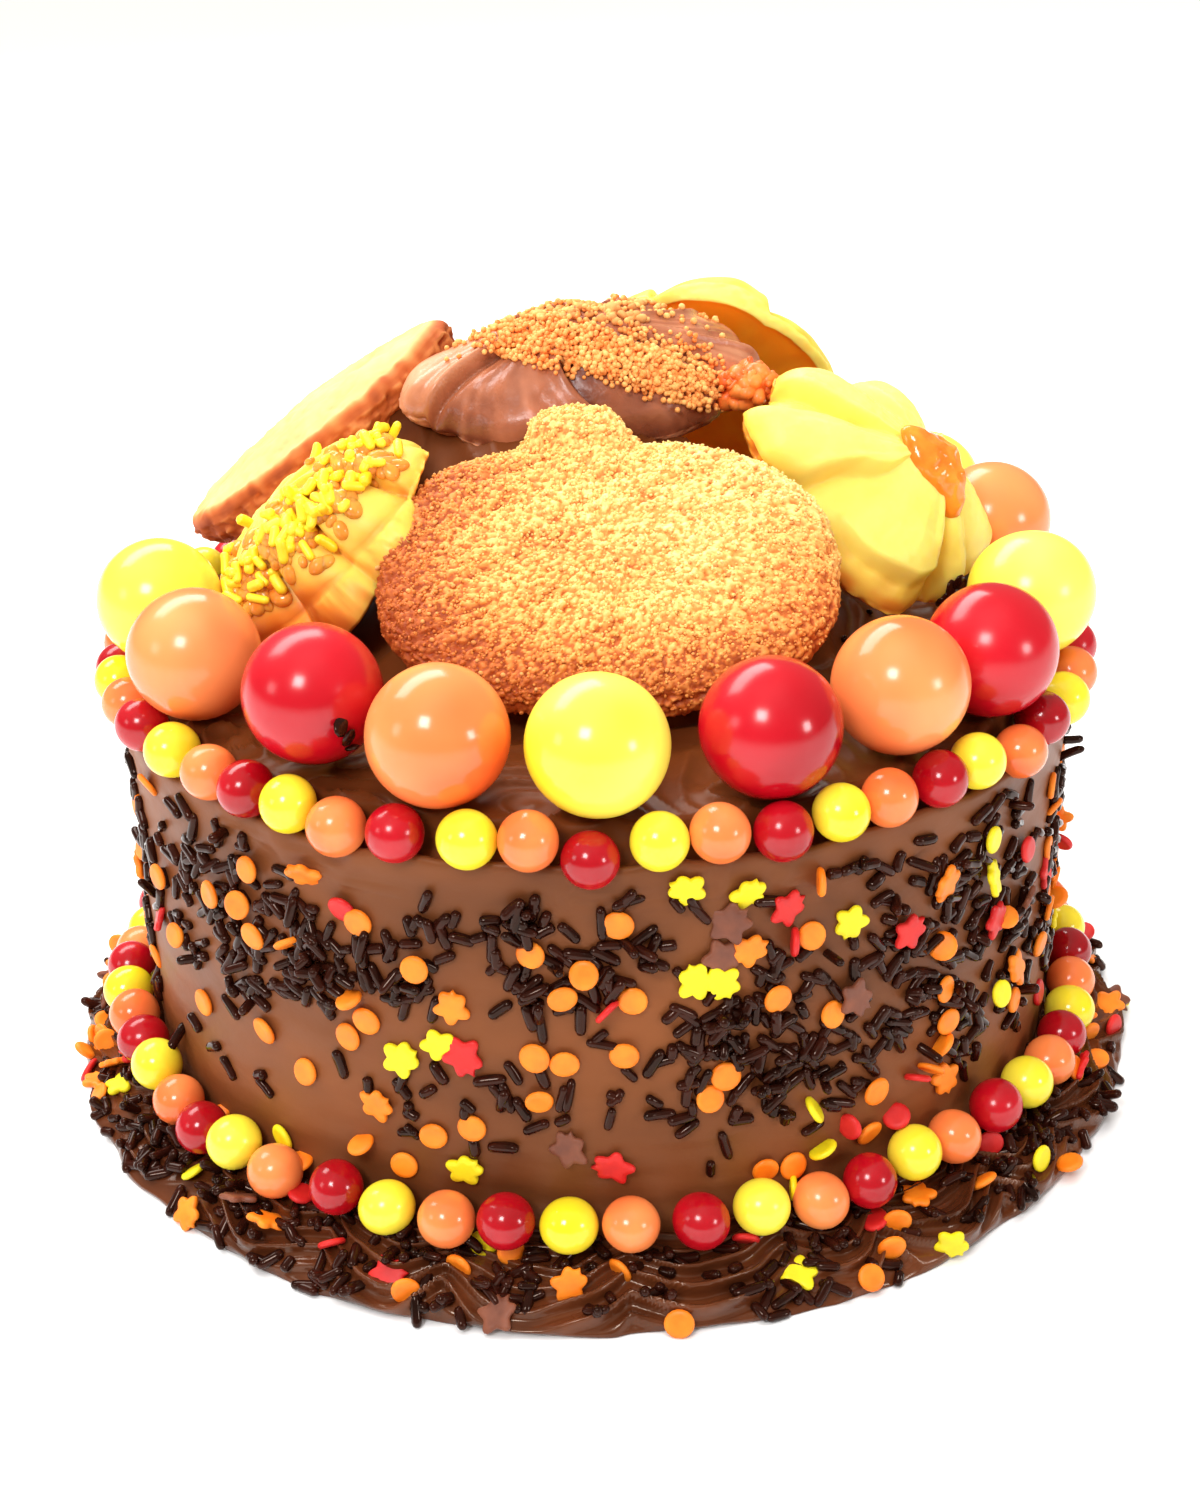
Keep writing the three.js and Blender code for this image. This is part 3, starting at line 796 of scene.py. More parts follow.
small = {k: Many("small_candies_" + n) for k, n in (("Y", "yellow"), ("O", "orange"), ("R", "red"))}
for R, ring in (
    (TOP_BEAD_RING_R, candy_ring(TOP_SEEN, TOP_BEAD_RING_R, TOP_BEAD_Z, 0, 54, -76, 75)),
    (BASE_BEAD_RING_R, candy_ring(BASE_SEEN, BASE_BEAD_RING_R, BASE_BEAD_Z, 1, 54, -88, 84)),
):
    for i, (az, z, col) in enumerate(ring):
        s = BEAD_R * (1 + rng.uniform(-0.045, 0.03, 3))
        small[col].add(
            BALL4, basis(rng.normal(size=3), 0), polar(az, R + rng.uniform(-0.3, 0.5), z), s,
            warp=lumpy(i + 60, 0.012, 5.0),
        )
for k, slot in (("Y", "candy_yellow"), ("O", "candy_orange"), ("R", "candy_red")):
    finish_piece(small[k].build(), "small" + k, slot, "top_candy_ring", "base_candy_ring")


# ------------------------------------------------------------------ cookies
def ring_values(A, points, period=2 * np.pi):
    """Smooth periodic interpolation of (degrees, value) pairs."""
    pts = sorted((d % 360, v) for d, v in points)
    x = np.radians([d for d, _ in pts])
    y = np.array([v for _, v in pts])
    X = np.concatenate([x - 2 * np.pi, x, x + 2 * np.pi])
    Y = np.concatenate([y, y, y])
    a = np.mod(A, 2 * np.pi)
    k = np.searchsorted(X, a, side="right") - 1
    t = (a - X[k]) / (X[k + 1] - X[k])
    t = t * t * (3 - 2 * t)
    return Y[k] * (1 - t) + Y[k + 1] * t


def flower(
    name, c, mat, slot, node, cols=440, rows=96, seed=0, edges=None, step=3.0, rise=0.8, rough=0.3, frill=0.0,
    tone=None, lobe_depth=0.13, twist=0.3, outline=None, mirror=False, bulge_h=1.0, ledge=None, under=0.14, power=1.0,
    dome_pow=2.1, round_from=0.9, round_share=0.55, round_max=4.0, side_tone=None,
    lip=0.0, flare=None, sag=None, streaks=0.1, painted_shade_golden=0.25, foot_shade=None,
):
    """A piped cookie of overlapping petals. edges: degrees where one petal laps over the next; step: drop at each."""
    a = np.linspace(0, 2 * np.pi, cols, endpoint=False)
    us = np.concatenate([[0.012], np.linspace(0.03, 0.9, rows - 22), np.linspace(0.908, 1.0, 21)])
    A, U = np.meshgrid(a, us)
    n = c["n"]
    if edges is not None:
        n = len(edges)
    flat = np.stack([np.cos(A) * U * 20, np.sin(A) * U * 20, U * 0], -1)
    if n:
        if edges is None:
            edges = [k * 360 / n for k in range(n)]
        B = -A if mirror else A
        deg = [(-e if mirror else e) % 360 for e in edges]
        st = [step] * n if np.isscalar(step) else list(step)
        order = np.argsort(deg)
        e = np.radians(np.array(deg)[order])
        D = np.array(st, float)[order]
        xs = np.concatenate([e - 2 * np.pi, e, e + 2 * np.pi])
        ph = np.interp(np.mod(B, 2 * np.pi), xs, np.arange(len(xs)) - n)
        wob = 0.09 * noise(flat, 9, seed + 70) * smooth(0.1, 0.4, U)
        ph = ph + twist * (1 - U) + wob
        pid = np.floor(ph)
        s = ph - pid
        k = pid.astype(int) % n
        d0, d1 = D[k], D[(k + 1) % n]
        up = np.sin(np.clip(s / rise, 0, 1) * np.pi / 2) ** power
        drop = smooth(0.93, 0.995, s)
        low = d0 * (1 - up) + d1 * drop
        crest = np.clip(1 - low / max(st), 0, 1)
        bulge = np.sin(np.pi * np.clip(s, 0, 1)) ** 0.7
        lobe = 1 - lobe_depth * (1 - bulge) * smooth(0.3, 1.0, U)
        g = smooth(0.04, 0.5, U) * (0.5 + 0.5 * U)
        relief = -low * g + bulge_h * (bulge - 0.5) * smooth(0.25, 0.7, U)
        relief = relief + lip * np.exp(-(((s - 0.91) / 0.055) ** 2)) * g
    else:
        s = pid = np.zeros_like(A)
        crest = bulge = np.ones_like(A)
        lobe = 1 + 0.012 * np.sin(5 * A)
        relief = 0 * A
    if outline:
        lobe = lobe * (1 + (ring_values(A, outline) - 1) * smooth(0.25, 1.0, U))
    dome = c["rim"] + (c["h"] - c["rim"]) * (1 - U**dome_pow)
    Zt = dome + relief
    if ledge is not None:
        Zt = Zt - ring_values(A, ledge) * smooth(0.84, 0.885, U)
    r = U * lobe
    X, Y = c["rx"] * r * np.cos(A), c["ry"] * r * np.sin(A)
    Q = np.stack([X, Y, Zt], -1)
    turn = np.clip((U - round_from) / (1 - round_from), 0, 1)
    Zt = np.maximum(Zt, 2.2)
    Zt = Zt - (1 - np.sqrt(np.clip(1 - turn**2, 0, 1))) * np.minimum(Zt * round_share, round_max)
    grain = fbm(Q, 6.0, seed + 5, 3)
    streak = noise(np.stack([s * 30, r * 8, pid * 3.3], -1), 2.2, seed + 8) if n else noise(Q, 2.4, seed + 8)
    Zt = Zt + rough * grain * smooth(0, 0.1, U) + streaks * streak
    if frill:
        kf = frill * smooth(0.6, 1.0, U)
        Zt = Zt + kf * np.sin(A * 3 + seed) * 1.2 + kf * noise(Q, 9, seed + 9)
    topP = np.stack([X, Y, Zt], -1)
    # side and underside
    side, t_side = [], []
    zr = topP[-1][:, 2]
    deep = ring_values(A[-1], sag) if sag else 0 * zr
    K = 13
    for k in range(1, K + 1):
        f = 1 - k / (K + 0.5)
        sc = 1 - 0.075 * (k / K) ** 2.2
        if flare:
            sc = sc + (ring_values(A[-1], flare) * (k / K) ** 0.8)
            sc = sc * (1 + 0.03 * noise(np.stack([X[-1], Y[-1], 0 * X[-1]], -1), 7, seed + 24) * (k / K))
        at3 = np.stack([X[-1], Y[-1], zr * f * 1.8], -1)
        w = noise(at3, 2.0, seed + 20)
        w2 = noise(at3, 6.5, seed + 22)
        w3 = noise(at3, 0.9, seed + 23)
        o = 1 + (0.35 * w + 0.45 * w2 + 0.16 * w3) * rough * 2.0 / 30
        side.append(np.stack([X[-1] * sc * o, Y[-1] * sc * o, zr * f - deep * (k / K)], -1))
        st = under + 0.16 * (1 - k / K) if side_tone is None else side_tone
        t_side.append(st + 0.16 * w + 0.12 * w2 + 0.08 * w3)
    foot = sc
    for sc in (0.985, 0.93, 0.8, 0.6, 0.35, 0.18, 0.02):
        w = noise(topP[-1] * [sc, sc, 0], 4.0, seed + 21)
        side.append(np.stack([X[-1] * sc * foot, Y[-1] * sc * foot, 0.12 + 0.3 * (1 + w) * (sc > 0.05) - deep * sc**2], -1))
        t_side.append(under + 0.12 * w)
    P = np.concatenate([topP, np.array(side)])
    if tone is None:
        # darker where one petal sinks under the next: painted shade in the grooves
        T = (
            0.93 + 0.07 * grain - 0.42 * smooth(0.93, 1.0, U) * (0.6 + 0.4 * noise(Q, 4, seed + 6))
            - 0.2 * (1 - crest) * smooth(0.2, 0.6, U)
        )
        if ledge is not None:
            T = T - 0.1 * ring_values(A, ledge) * smooth(0.83, 0.9, U)
    else:
        T = tone(dict(A=A, U=U, s=s, crest=crest, grain=grain, Q=Q, pid=pid))
    T = np.concatenate([T, np.array(t_side)])
    M3 = facing(c)
    Pw = P @ M3.T + np.array(c["at"])
    Nw = np.cross(np.roll(Pw, -1, 1) - np.roll(Pw, 1, 1), np.gradient(Pw, axis=0))
    Nw /= np.linalg.norm(Nw, axis=-1)[..., None] + 1e-9
    if (Nw[20] @ M3[:, 2]).mean() < 0:
        Nw = -Nw
    # darker and more golden where the surface turns away from straight up: painted shade; foot_shade darkens the lower
    # part by world height: painted shade at the foot
    T = T - painted_shade_golden * smooth(0.6, -0.3, Nw[..., 2])
    if foot_shade:
        T = T - foot_shade[2] * smooth(foot_shade[1], foot_shade[0], Pw[..., 2] + 3 * noise(Pw, 7, seed + 25))
    V, q, t, at = closed(Pw, {"tone": np.clip(T, 0, 1)})
    ob = mesh_object(name, V, q, t, attrs=at)
    return finish_piece(ob, mat, slot, node)


yellow = flower(
    "yellow_flower", YELLOW, "yellow_icing", "yellow_icing", "yellow_flower_cookie", seed=1,
    edges=[95, 147, 236, 262, 308, 350, 45], step=[4.4, 4.2, 4.6, 2.4, 3.4, 3.0, 3.2], bulge_h=1.5, twist=-0.2, lip=1.0, rough=0.7, painted_shade_golden=0.04,
    outline=[
        (88, 1.08), (101, 0.97), (116, 1.2), (132, 1.16), (147, 1.04), (168, 1.0), (190, 1.12), (212, 1.12), (233, 1.02),
        (243, 0.95), (262, 0.95), (280, 1.0), (300, 1.13), (318, 1.02), (336, 1.06), (352, 0.98), (15, 1.04), (45, 0.93),
        (66, 0.98),
    ],
    ledge=[(165, 0), (182, 3.4), (225, 3.4), (240, 0), (0, 0), (90, 0)],
)
left = flower(
    "left_flower", LEFT, "amber_icing", "amber_icing", "left_flower_cookie", seed=2,
    edges=[106, 62, 24, 352, 308, 262, 212, 160], step=[4.4, 4.0, 4.2, 3.6, 3.4, 3.2, 3.2, 3.2], mirror=True, bulge_h=2.0,
    round_from=0.62, round_share=0.85, round_max=7.0, side_tone=0.66, rough=0.4, lip=0.6,
    sag=[(0, 7.5), (35, 5.0), (70, 0), (180, 0), (270, 0), (300, 3.0), (330, 7.0)],
    flare=[(0, 0.26), (40, 0.16), (75, 0.0), (120, 0), (180, 0), (250, 0.02), (300, 0.16), (330, 0.24)],
    twist=0.1, outline=[(112, 1.06), (84, 1.05), (60, 1.14), (43, 1.1), (20, 1.1), (5, 1.06), (340, 1.0), (180, 1.0)],
    dome_pow=2.6, foot_shade=(97, 121, 0.5),
)
# the back leaf's shaded underside uses the brightened icing: painted bounce light
back_leaf = flower(
    "back_leaf", BACK, "back_icing", "yellow_icing", "back_leaf_cookie", seed=3, step=2.6, frill=1.3, rough=0.4,
    lobe_depth=0.06, under=0.12, side_tone=0.9, lip=0.5, painted_shade_golden=0.0,
)
back_left = flower(
    "back_left_flower", BACK_LEFT, "amber_icing", "amber_icing", "back_left_flower_cookie", seed=4, step=3.4, cols=320,
    rows=70, bulge_h=1.4,
)
back_right = flower(
    "back_right_flower", BACK_RIGHT, "yellow_icing", "yellow_icing", "back_right_flower_cookie", seed=5, step=2.4,
    cols=260, rows=60,
)


def coating_tone(d):
    lines = noise(np.stack([d["s"] * 20, d["U"] * 2.5, d["pid"] * 3.3], -1), 1.0, 93)
    a = np.degrees(np.mod(d["A"], 2 * np.pi))
    # the left flap made lighter: painted light
    lit_flap = smooth(128, 150, a) * (1 - smooth(186, 200, a)) * smooth(0.3, 0.5, d["U"])
    right = smooth(286, 318, a) + (1 - smooth(20, 46, a))
    # darker in the grooves between the petals: painted shade
    return 0.42 + 0.42 * lit_flap + 0.22 * right * smooth(0.3, 0.6, d["U"]) + 0.1 * lines + 0.2 * d["grain"] - 0.35 * (1 - d["crest"]) * smooth(0.1, 0.5, d["U"])


rosette = flower(
    "chocolate_rosette", ROSETTE, "coating", "chocolate_coating", "chocolate_rosette_cookie", seed=6,
    edges=[192, 280, 318, 350, 35, 80, 112, 134], step=[3.6, 2.6, 2.8, 2.6, 3.0, 3.0, 3.0, 2.0], rise=0.8, power=0.8, streaks=0.22, painted_shade_golden=0.1,
    rough=0.5, tone=coating_tone, lobe_depth=0.07, bulge_h=0.3, twist=0.75, under=0.6, lip=1.6,
    outline=[(130, 1.0), (142, 1.08), (155, 1.12), (172, 1.12), (190, 1.06), (204, 0.97), (235, 1.0), (268, 0.97), (290, 1.02), (335, 1.08), (348, 1.1), (5, 1.02), (90, 1.0)],
)


def tan_tone(d):
    rim = smooth(0.9, 0.99, d["U"] + 0.03 * noise(d["Q"], 5.0, 92))
    spots = noise(d["Q"], 1.6, 94) + 0.8 * noise(d["Q"], 6.0, 95)
    return 0.9 + 0.12 * d["grain"] + 0.06 * spots - rim * (0.58 + 0.2 * noise(d["Q"], 2.4, 91))


tan = flower(
    "tan_biscuit", TAN, "biscuit", "plain_biscuit", "tan_cookie", seed=7, rough=1.05, tone=tan_tone, under=0.15, side_tone=0.4, painted_shade_golden=0.12,
    round_from=0.93, round_share=0.3, round_max=2.0,
)


def build_pumpkin():
    c = PUMPKIN
    cols, rows = 720, 120
    a = np.linspace(0, 2 * np.pi, cols, endpoint=False)
    us = np.concatenate([np.linspace(0.01, 0.93, 102), np.linspace(0.94, 1.0, rows - 102)])
    A, U = np.meshgrid(a, us)
    e = 2.35
    cs, sn = np.abs(np.cos(A)), np.abs(np.sin(A))
    edge = 1 / ((cs / (c["w"] / 2)) ** e + (sn / (c["h"] / 2)) ** e) ** (1 / e)
    up = np.arctan2(np.sin(A), np.cos(A)) - np.pi / 2
    off = np.arctan2(np.sin(up - 0.18), np.cos(up - 0.18))
    edge = edge - 1.6 * np.exp(-(((np.abs(off) - 0.44) / 0.14) ** 2)) + 7.5 * np.exp(-((off / 0.3) ** 4))
    edge = edge + 0.35 * noise(np.stack([np.cos(A) * 40, np.sin(A) * 40, 0 * A], -1), 4, 101)
    turn = np.clip((U - 0.86) / 0.14, 0, 1)
    r = U * edge - (1 - np.sqrt(np.clip(1 - turn**2, 0, 1))) * 0.0
    z = c["t"] * 0.58 + c["t"] * 0.42 * (1 - U**2.6)
    z = z - (1 - np.sqrt(np.clip(1 - turn**2, 0, 1))) * c["t"] * 0.42
    P = np.stack([r * np.cos(A), r * np.sin(A), z], -1)
    # the stem is a small round biscuit of its own on top of the shoulders
    k = np.exp(-((P[..., 0] + 6.2) / 10.0) ** 4 - ((P[..., 1] - 34) / 6.2) ** 4)
    P[..., 2] += 2.4 * k
    side = []
    for f, sc in ((0.75, 1.0), (0.5, 0.995), (0.28, 0.985), (0.1, 0.965)):
        side.append(np.stack([P[-1][:, 0] * sc, P[-1][:, 1] * sc, P[-1][:, 2] * f], -1))
    for sc in (0.92, 0.75, 0.5, 0.25, 0.02):
        side.append(np.stack([P[-1][:, 0] * sc, P[-1][:, 1] * sc, np.full(cols, 0.25)], -1))
    n_top = rows
    P = np.concatenate([P, np.array(side)])
    # outward direction for the relief
    du = np.gradient(P, axis=0)
    da = np.roll(P, -1, 1) - np.roll(P, 1, 1)
    N = np.cross(da, du)
    N /= np.linalg.norm(N, axis=-1)[..., None] + 1e-9
    if N[40, :, 2].mean() < 0:
        N = -N
    # clumps of sugar grains: rows that slant, with crevices between
    Q = P.copy()
    ang = math.radians(24)
    X = Q[..., 0] * math.cos(ang) + Q[..., 1] * math.sin(ang)
    Yr = -Q[..., 0] * math.sin(ang) + Q[..., 1] * math.cos(ang)
    Q2 = np.stack([X * 0.8, Yr, Q[..., 2]], -1)
    g1, id1 = grains(Q2, 0.98, 111, 0.5, 0.78, 0.0)
    g2, id2 = grains(Q, 0.66, 121, 0.35, 0.6, 0.1)
    clump = fbm(Q2 * [0.55, 1.0, 1], 2.7, 131, 2)
    crack = smooth(-0.55, -0.2, clump)
    h = 0.85 * g1 + 0.42 * g2 - 0.38 * (1 - crack) + 0.24 * clump
    mask = np.ones(P.shape[0])
    mask[n_top + 4 :] = 0.25
    h = h * mask[:, None]
    P = P + N * (h - 0.75 * mask[:, None])[..., None]
    # lighter on the grains' tops and darker between them and in the cracks: partly pale sugar over darker dough, partly
    # painted light and shade from the relief
    tone = 0.88 + 0.16 * (g1 - 0.6) + 0.12 * (g2 - 0.4) - 0.24 * (1 - smooth(0.2, 0.55, g1)) - 0.22 * (1 - crack)
    # paler and more golden towards the middle and the upper right, baked at the left, foot and edge
    x, y = Q[..., 0] / 45, Q[..., 1] / 33
    rr = np.sqrt(x * x + y * y)
    bake = -0.54 * smooth(0.42, 1.05, rr) * (1 - 0.8 * smooth(0.1, 0.9, y + 0.35 * x)) + 0.19 * x + 0.1 * y + 0.08 * fbm(Q, 14, 141, 2)
    tone = tone + bake + 0.14 * (id1 - 0.5)
    tone[n_top:] -= 0.15
    M3 = facing(c)
    Pw = P @ M3.T + np.array(c["at"])
    V, q, t, at = closed(Pw, {"tone": np.clip(tone, 0, 1)})
    ob = mesh_object("pumpkin_biscuit", V, q, t, attrs=at)
    return finish_piece(ob, "sugar", "sugared_cookie", "pumpkin_cookie")


pumpkin = build_pumpkin()


# ------------------------------------------------------------------ jam
def build_jam():
    c = YELLOW
    M3 = facing(c)
    tilt = math.radians(12)
    T3 = np.array([[1, 0, 0], [0, math.cos(tilt), -math.sin(tilt)], [0, math.sin(tilt), math.cos(tilt)]])
    at = np.array(c["at"]) + M3 @ np.array([0.0, -4.8, 18.3])
    M3 = M3 @ T3
    cols, rows = 96, 30
    a = np.linspace(0, 2 * np.pi, cols, endpoint=False)
    u = np.linspace(0.03, 1, rows)
    A, U = np.meshgrid(a, u)
    edge = 1 + 0.08 * np.sin(2 * A + 0.6) + 0.09 * np.sin(3 * A + 2) + 0.06 * np.sin(5 * A)
    x, y = 6.3 * U * edge * np.cos(A), 10.6 * U * edge * np.sin(A)
    Q = np.stack([x, y, 0 * x], -1)
    z = 3.5 * (1 - U**2.6) ** 0.6 + (0.8 * noise(Q, 3.4, 151) + 0.45 * noise(Q, 1.7, 152)) * (1 - U**4)
    z = z - 1.6 * U**3
    P = np.stack([x, y, z], -1)
    under = [np.stack([x[-1] * f, y[-1] * f, np.full(cols, -2.4)], -1) for f in (0.98, 0.5, 0.02)]
    P = np.concatenate([P, np.array(under)]) @ M3.T + at
    V, q, t, _ = closed(P)
    ob = mesh_object("jam_blob", V, q, t)
    finish_piece(ob, "jam", "jam", "jam_centre")


build_jam()


def build_lump():
    c = np.array([32.4, 12.0, 139.6])
    r0 = np.random.default_rng(77)
    drop = Many("jam_drop")
    core = icosphere(4)

    def warp(W):
        return W * (1 + 0.16 * noise(W, 3.6, 161) + 0.07 * noise(W, 1.6, 162))[:, None]

    drop.add(core, np.eye(3), c, (5.4, 4.6, 4.4), warp=warp)
    lump = icosphere(3)
    for k in range(26):
        d = r0.normal(size=3) + [0, -0.35, 0.45]
        d /= np.linalg.norm(d)
        q = r0.uniform(1.2, 2.3)
        drop.add(lump, basis(r0.normal(size=3)), c + d * [4.7, 4.0, 3.8], (q * 1.25, q, q * 0.85), warp=lumpy(k + 5, 0.14, 1.8))
    finish_piece(drop.build(), "orange_jimmies", "jam", "jam_lump")


build_lump()

# ------------------------------------------------------------------ scattered toppings
cake = Surface(wall, top, border)
everything = Surface(wall, top, border, pumpkin, yellow, left, rosette, tan, back_leaf, back_left, back_right)


def capsule(bend=0.0, sides=7, r=1.02, half=2.45):
    prof = [(0.28 * r, half), (0.72 * r, half - 0.22 * r), (0.98 * r, half - 0.75 * r)]
    for k in (0.45, 0.0, -0.45):
        prof.append((r * (1.0 + 0.03 * (k == 0)), k * half))
    prof += [(0.98 * r, -half + 0.75 * r), (0.72 * r, -half + 0.22 * r), (0.28 * r, -half)]
    V, T = small_lathe(prof, sides)
    V = V[:, [2, 0, 1]]  # along x
    V[:, 2] += bend * (V[:, 0] ** 2 / half**2 - 0.5)
    return V, T


CAPSULES = [capsule(0), capsule(0.35), capsule(-0.25), capsule(0.15)]


def disc(r=2.75, t=1.2, sides=18):
    prof = [
        (0.05 * r, t / 2 * 0.92), (0.6 * r, t / 2), (0.86 * r, t / 2 * 0.94), (0.97 * r, t / 4), (r, 0),
        (0.97 * r, -t / 4), (0.86 * r, -t / 2 * 0.94), (0.6 * r, -t / 2), (0.05 * r, -t / 2 * 0.92),
    ]
    return small_lathe(prof, sides)


def leaf(lobes=5, r=3.7, t=1.25, sharp=1.0, cols=40):
    a = np.linspace(0, 2 * np.pi, cols, endpoint=False)
    rho = 0.66 + 0.34 * (0.5 + 0.5 * np.cos(lobes * a)) ** sharp
    # a short stem
    d = np.angle(np.exp(1j * (a - np.pi / lobes)))
    rho = rho + 0.42 * np.exp(-((d / 0.16) ** 2))
    rows = [(0.06, 0.9), (0.6, 1.0), (0.9, 0.96), (0.985, 0.55), (1.0, 0.0), (0.985, -0.55), (0.9, -0.96), (0.5, -1), (0.06, -0.9)]
    P = np.zeros((len(rows), cols, 3))
    for k, (f, h) in enumerate(rows):
        P[k, :, 0], P[k, :, 1], P[k, :, 2] = f * r * rho * np.cos(a), f * r * rho * np.sin(a), h * t / 2
    V, q, tr, _ = closed(P)
    T = as_tris(q, tr)
    if np.einsum("ij,ij->i", V[T[:, 0]], np.cross(V[T[:, 1]], V[T[:, 2]])).sum() < 0:
        T = T[:, ::-1]
    return V, T


DISC = disc()
LEAF = {"orange": leaf(5, 3.7, 1.25, 0.8), "yellow": leaf(5, 3.7, 1.25, 0.7), "red": leaf(5, 3.9, 1.2, 1.1), "brown": leaf(5, 4.0, 1.2, 1.2)}

discs = {k: Many(k + "_discs") for k in ("orange", "yellow", "red")}
leaves = {k: Many(k + "_leaves") for k in ("orange", "yellow", "red", "brown")}


FLAT_AT = []


def put_flat(many, shape, hit, thick=1.2, tilt=0.16, edge=False, lift=0.0, scale=1.0):
    """A flat candy on the surface, or on edge in it."""
    p, n = hit
    if edge:
        side = np.cross(n, rng.normal(size=3))
        side /= np.linalg.norm(side)
        zz = side + 0.35 * n
        at = p + n * 1.5
    else:
        zz = n + tilt * rng.normal(size=3)
        at = p + n * (thick * 0.42 + lift)
    R = basis(zz, rng.uniform(0, 2 * np.pi), up=(0.1, 0.2, 1))
    s = scale * (1 + rng.uniform(-0.07, 0.07, 3))
    FLAT_AT.append(at)
    bend = rng.uniform(-0.02, 0.02)

    def warp(W):
        W = W.copy()
        W[:, 2] += bend * W[:, 0] ** 2
        return W

    many.add(shape, R, at, s, warp=warp)


O, OL, YL, RL, BL, Y_, R_ = "O", "OL", "YL", "RL", "BL", "Y", "R"
# flat candies the camera sees: kind, pixel, on edge
SEEN_FLAT = [
    (O, 151, 783), (O, 167, 875), (O, 218, 891), (O, 254, 866), (O, 245, 902), (OL, 306, 872), (O, 184, 932),
    (O, 260, 933), (O, 294, 939, 1), (R_, 344, 908), (O, 360, 921), (O, 418, 964), (O, 207, 1001), (O, 353, 996, 1),
    (O, 368, 1019), (O, 350, 1035), (O, 267, 1029), (O, 308, 1070), (OL, 453, 1006), (YL, 402, 1057), (YL, 440, 1043),
    (RL, 464, 1054), (OL, 378, 1103),
    (O, 531, 953), (O, 618, 923), (O, 584, 970), (O, 563, 994), (R_, 607, 1008, 1), (O, 632, 999), (O, 624, 1054),
    (O, 535, 1056), (O, 565, 1062), (O, 540, 1100), (O, 435, 1134), (O, 473, 1126), (O, 406, 1163), (YL, 466, 1168),
    (BL, 569, 1148), (RL, 614, 1165), (YL, 687, 887), (YL, 747, 892), (BL, 728, 921), (BL, 720, 955), (OL, 747, 949),
    (YL, 695, 980), (YL, 720, 980), (O, 725, 1074), (O, 709, 1097),
    (O, 817, 878, 1), (RL, 786, 907), (R_, 791, 938, 1), (O, 810, 934), (YL, 849, 920), (RL, 902, 928), (Y_, 985, 836),
    (R_, 1019, 847), (O, 1056, 862), (OL, 940, 879), (YL, 985, 876), (BL, 1017, 902), (RL, 987, 919), (O, 998, 914, 1),
    (O, 1040, 906), (O, 1059, 900, 1), (O, 936, 943, 1), (O, 1031, 942), (OL, 1008, 965), (Y_, 993, 991),
    (O, 1005, 997), (O, 774, 994), (O, 831, 1012), (O, 938, 985), (O, 941, 1018), (O, 936, 1042, 1), (BL, 850, 994),
    (O, 871, 1087), (R_, 912, 1074, 1), (O, 925, 1065, 1), (OL, 942, 1076), (Y_, 811, 1105, 1), (Y_, 819, 1145, 1),
    (R_, 845, 1123, 1), (R_, 891, 1113, 1), (O, 867, 1131), (O, 792, 1164), (O, 764, 1168), (Y_, 790, 1183, 1),
    (R_, 1055, 928), (R_, 1083, 934), (O, 1086, 1032), (O, 1096, 1061), (R_, 1111, 1025),
    (O, 106, 1034), (O, 102, 1095), (Y_, 198, 1170, 1), (Y_, 285, 1136), (O, 225, 1112, 1), (O, 305, 1158, 1),
    (O, 365, 1140, 1), (BL, 239, 1201), (OL, 190, 1218), (OL, 266, 1223), (O, 200, 1251), (RL, 229, 1255),
    (O, 123, 1191), (R_, 329, 1247, 1), (RL, 389, 1275), (O, 405, 1288), (R_, 300, 1196), (O, 258, 1288),
    (O, 460, 1264), (O, 509, 1257, 1), (O, 616, 1266, 1), (OL, 570, 1283), (O, 679, 1326), (OL, 446, 1326),
    (RL, 427, 1347), (BL, 497, 1316), (BL, 507, 1336, 1), (YL, 523, 1344), (BL, 566, 1353), (OL, 768, 1320),
    (BL, 792, 1341), (O, 828, 1316), (YL, 800, 1276), (R_, 744, 1243, 1), (Y_, 484, 1245), (O, 867, 1308),
    (O, 870, 1278), (O, 891, 1245), (O, 897, 1218), (OL, 918, 1198), (R_, 867, 1218, 1), (O, 986, 1183),
    (YL, 950, 1241), (Y_, 1038, 1157), (O, 1063, 1164, 1), (R_, 990, 1141),
]
KINDS = {
    "O": (discs["orange"], DISC), "Y": (discs["yellow"], DISC), "R": (discs["red"], DISC),
    "OL": (leaves["orange"], LEAF["orange"]), "YL": (leaves["yellow"], LEAF["yellow"]),
    "RL": (leaves["red"], LEAF["red"]), "BL": (leaves["brown"], LEAF["brown"]),
}
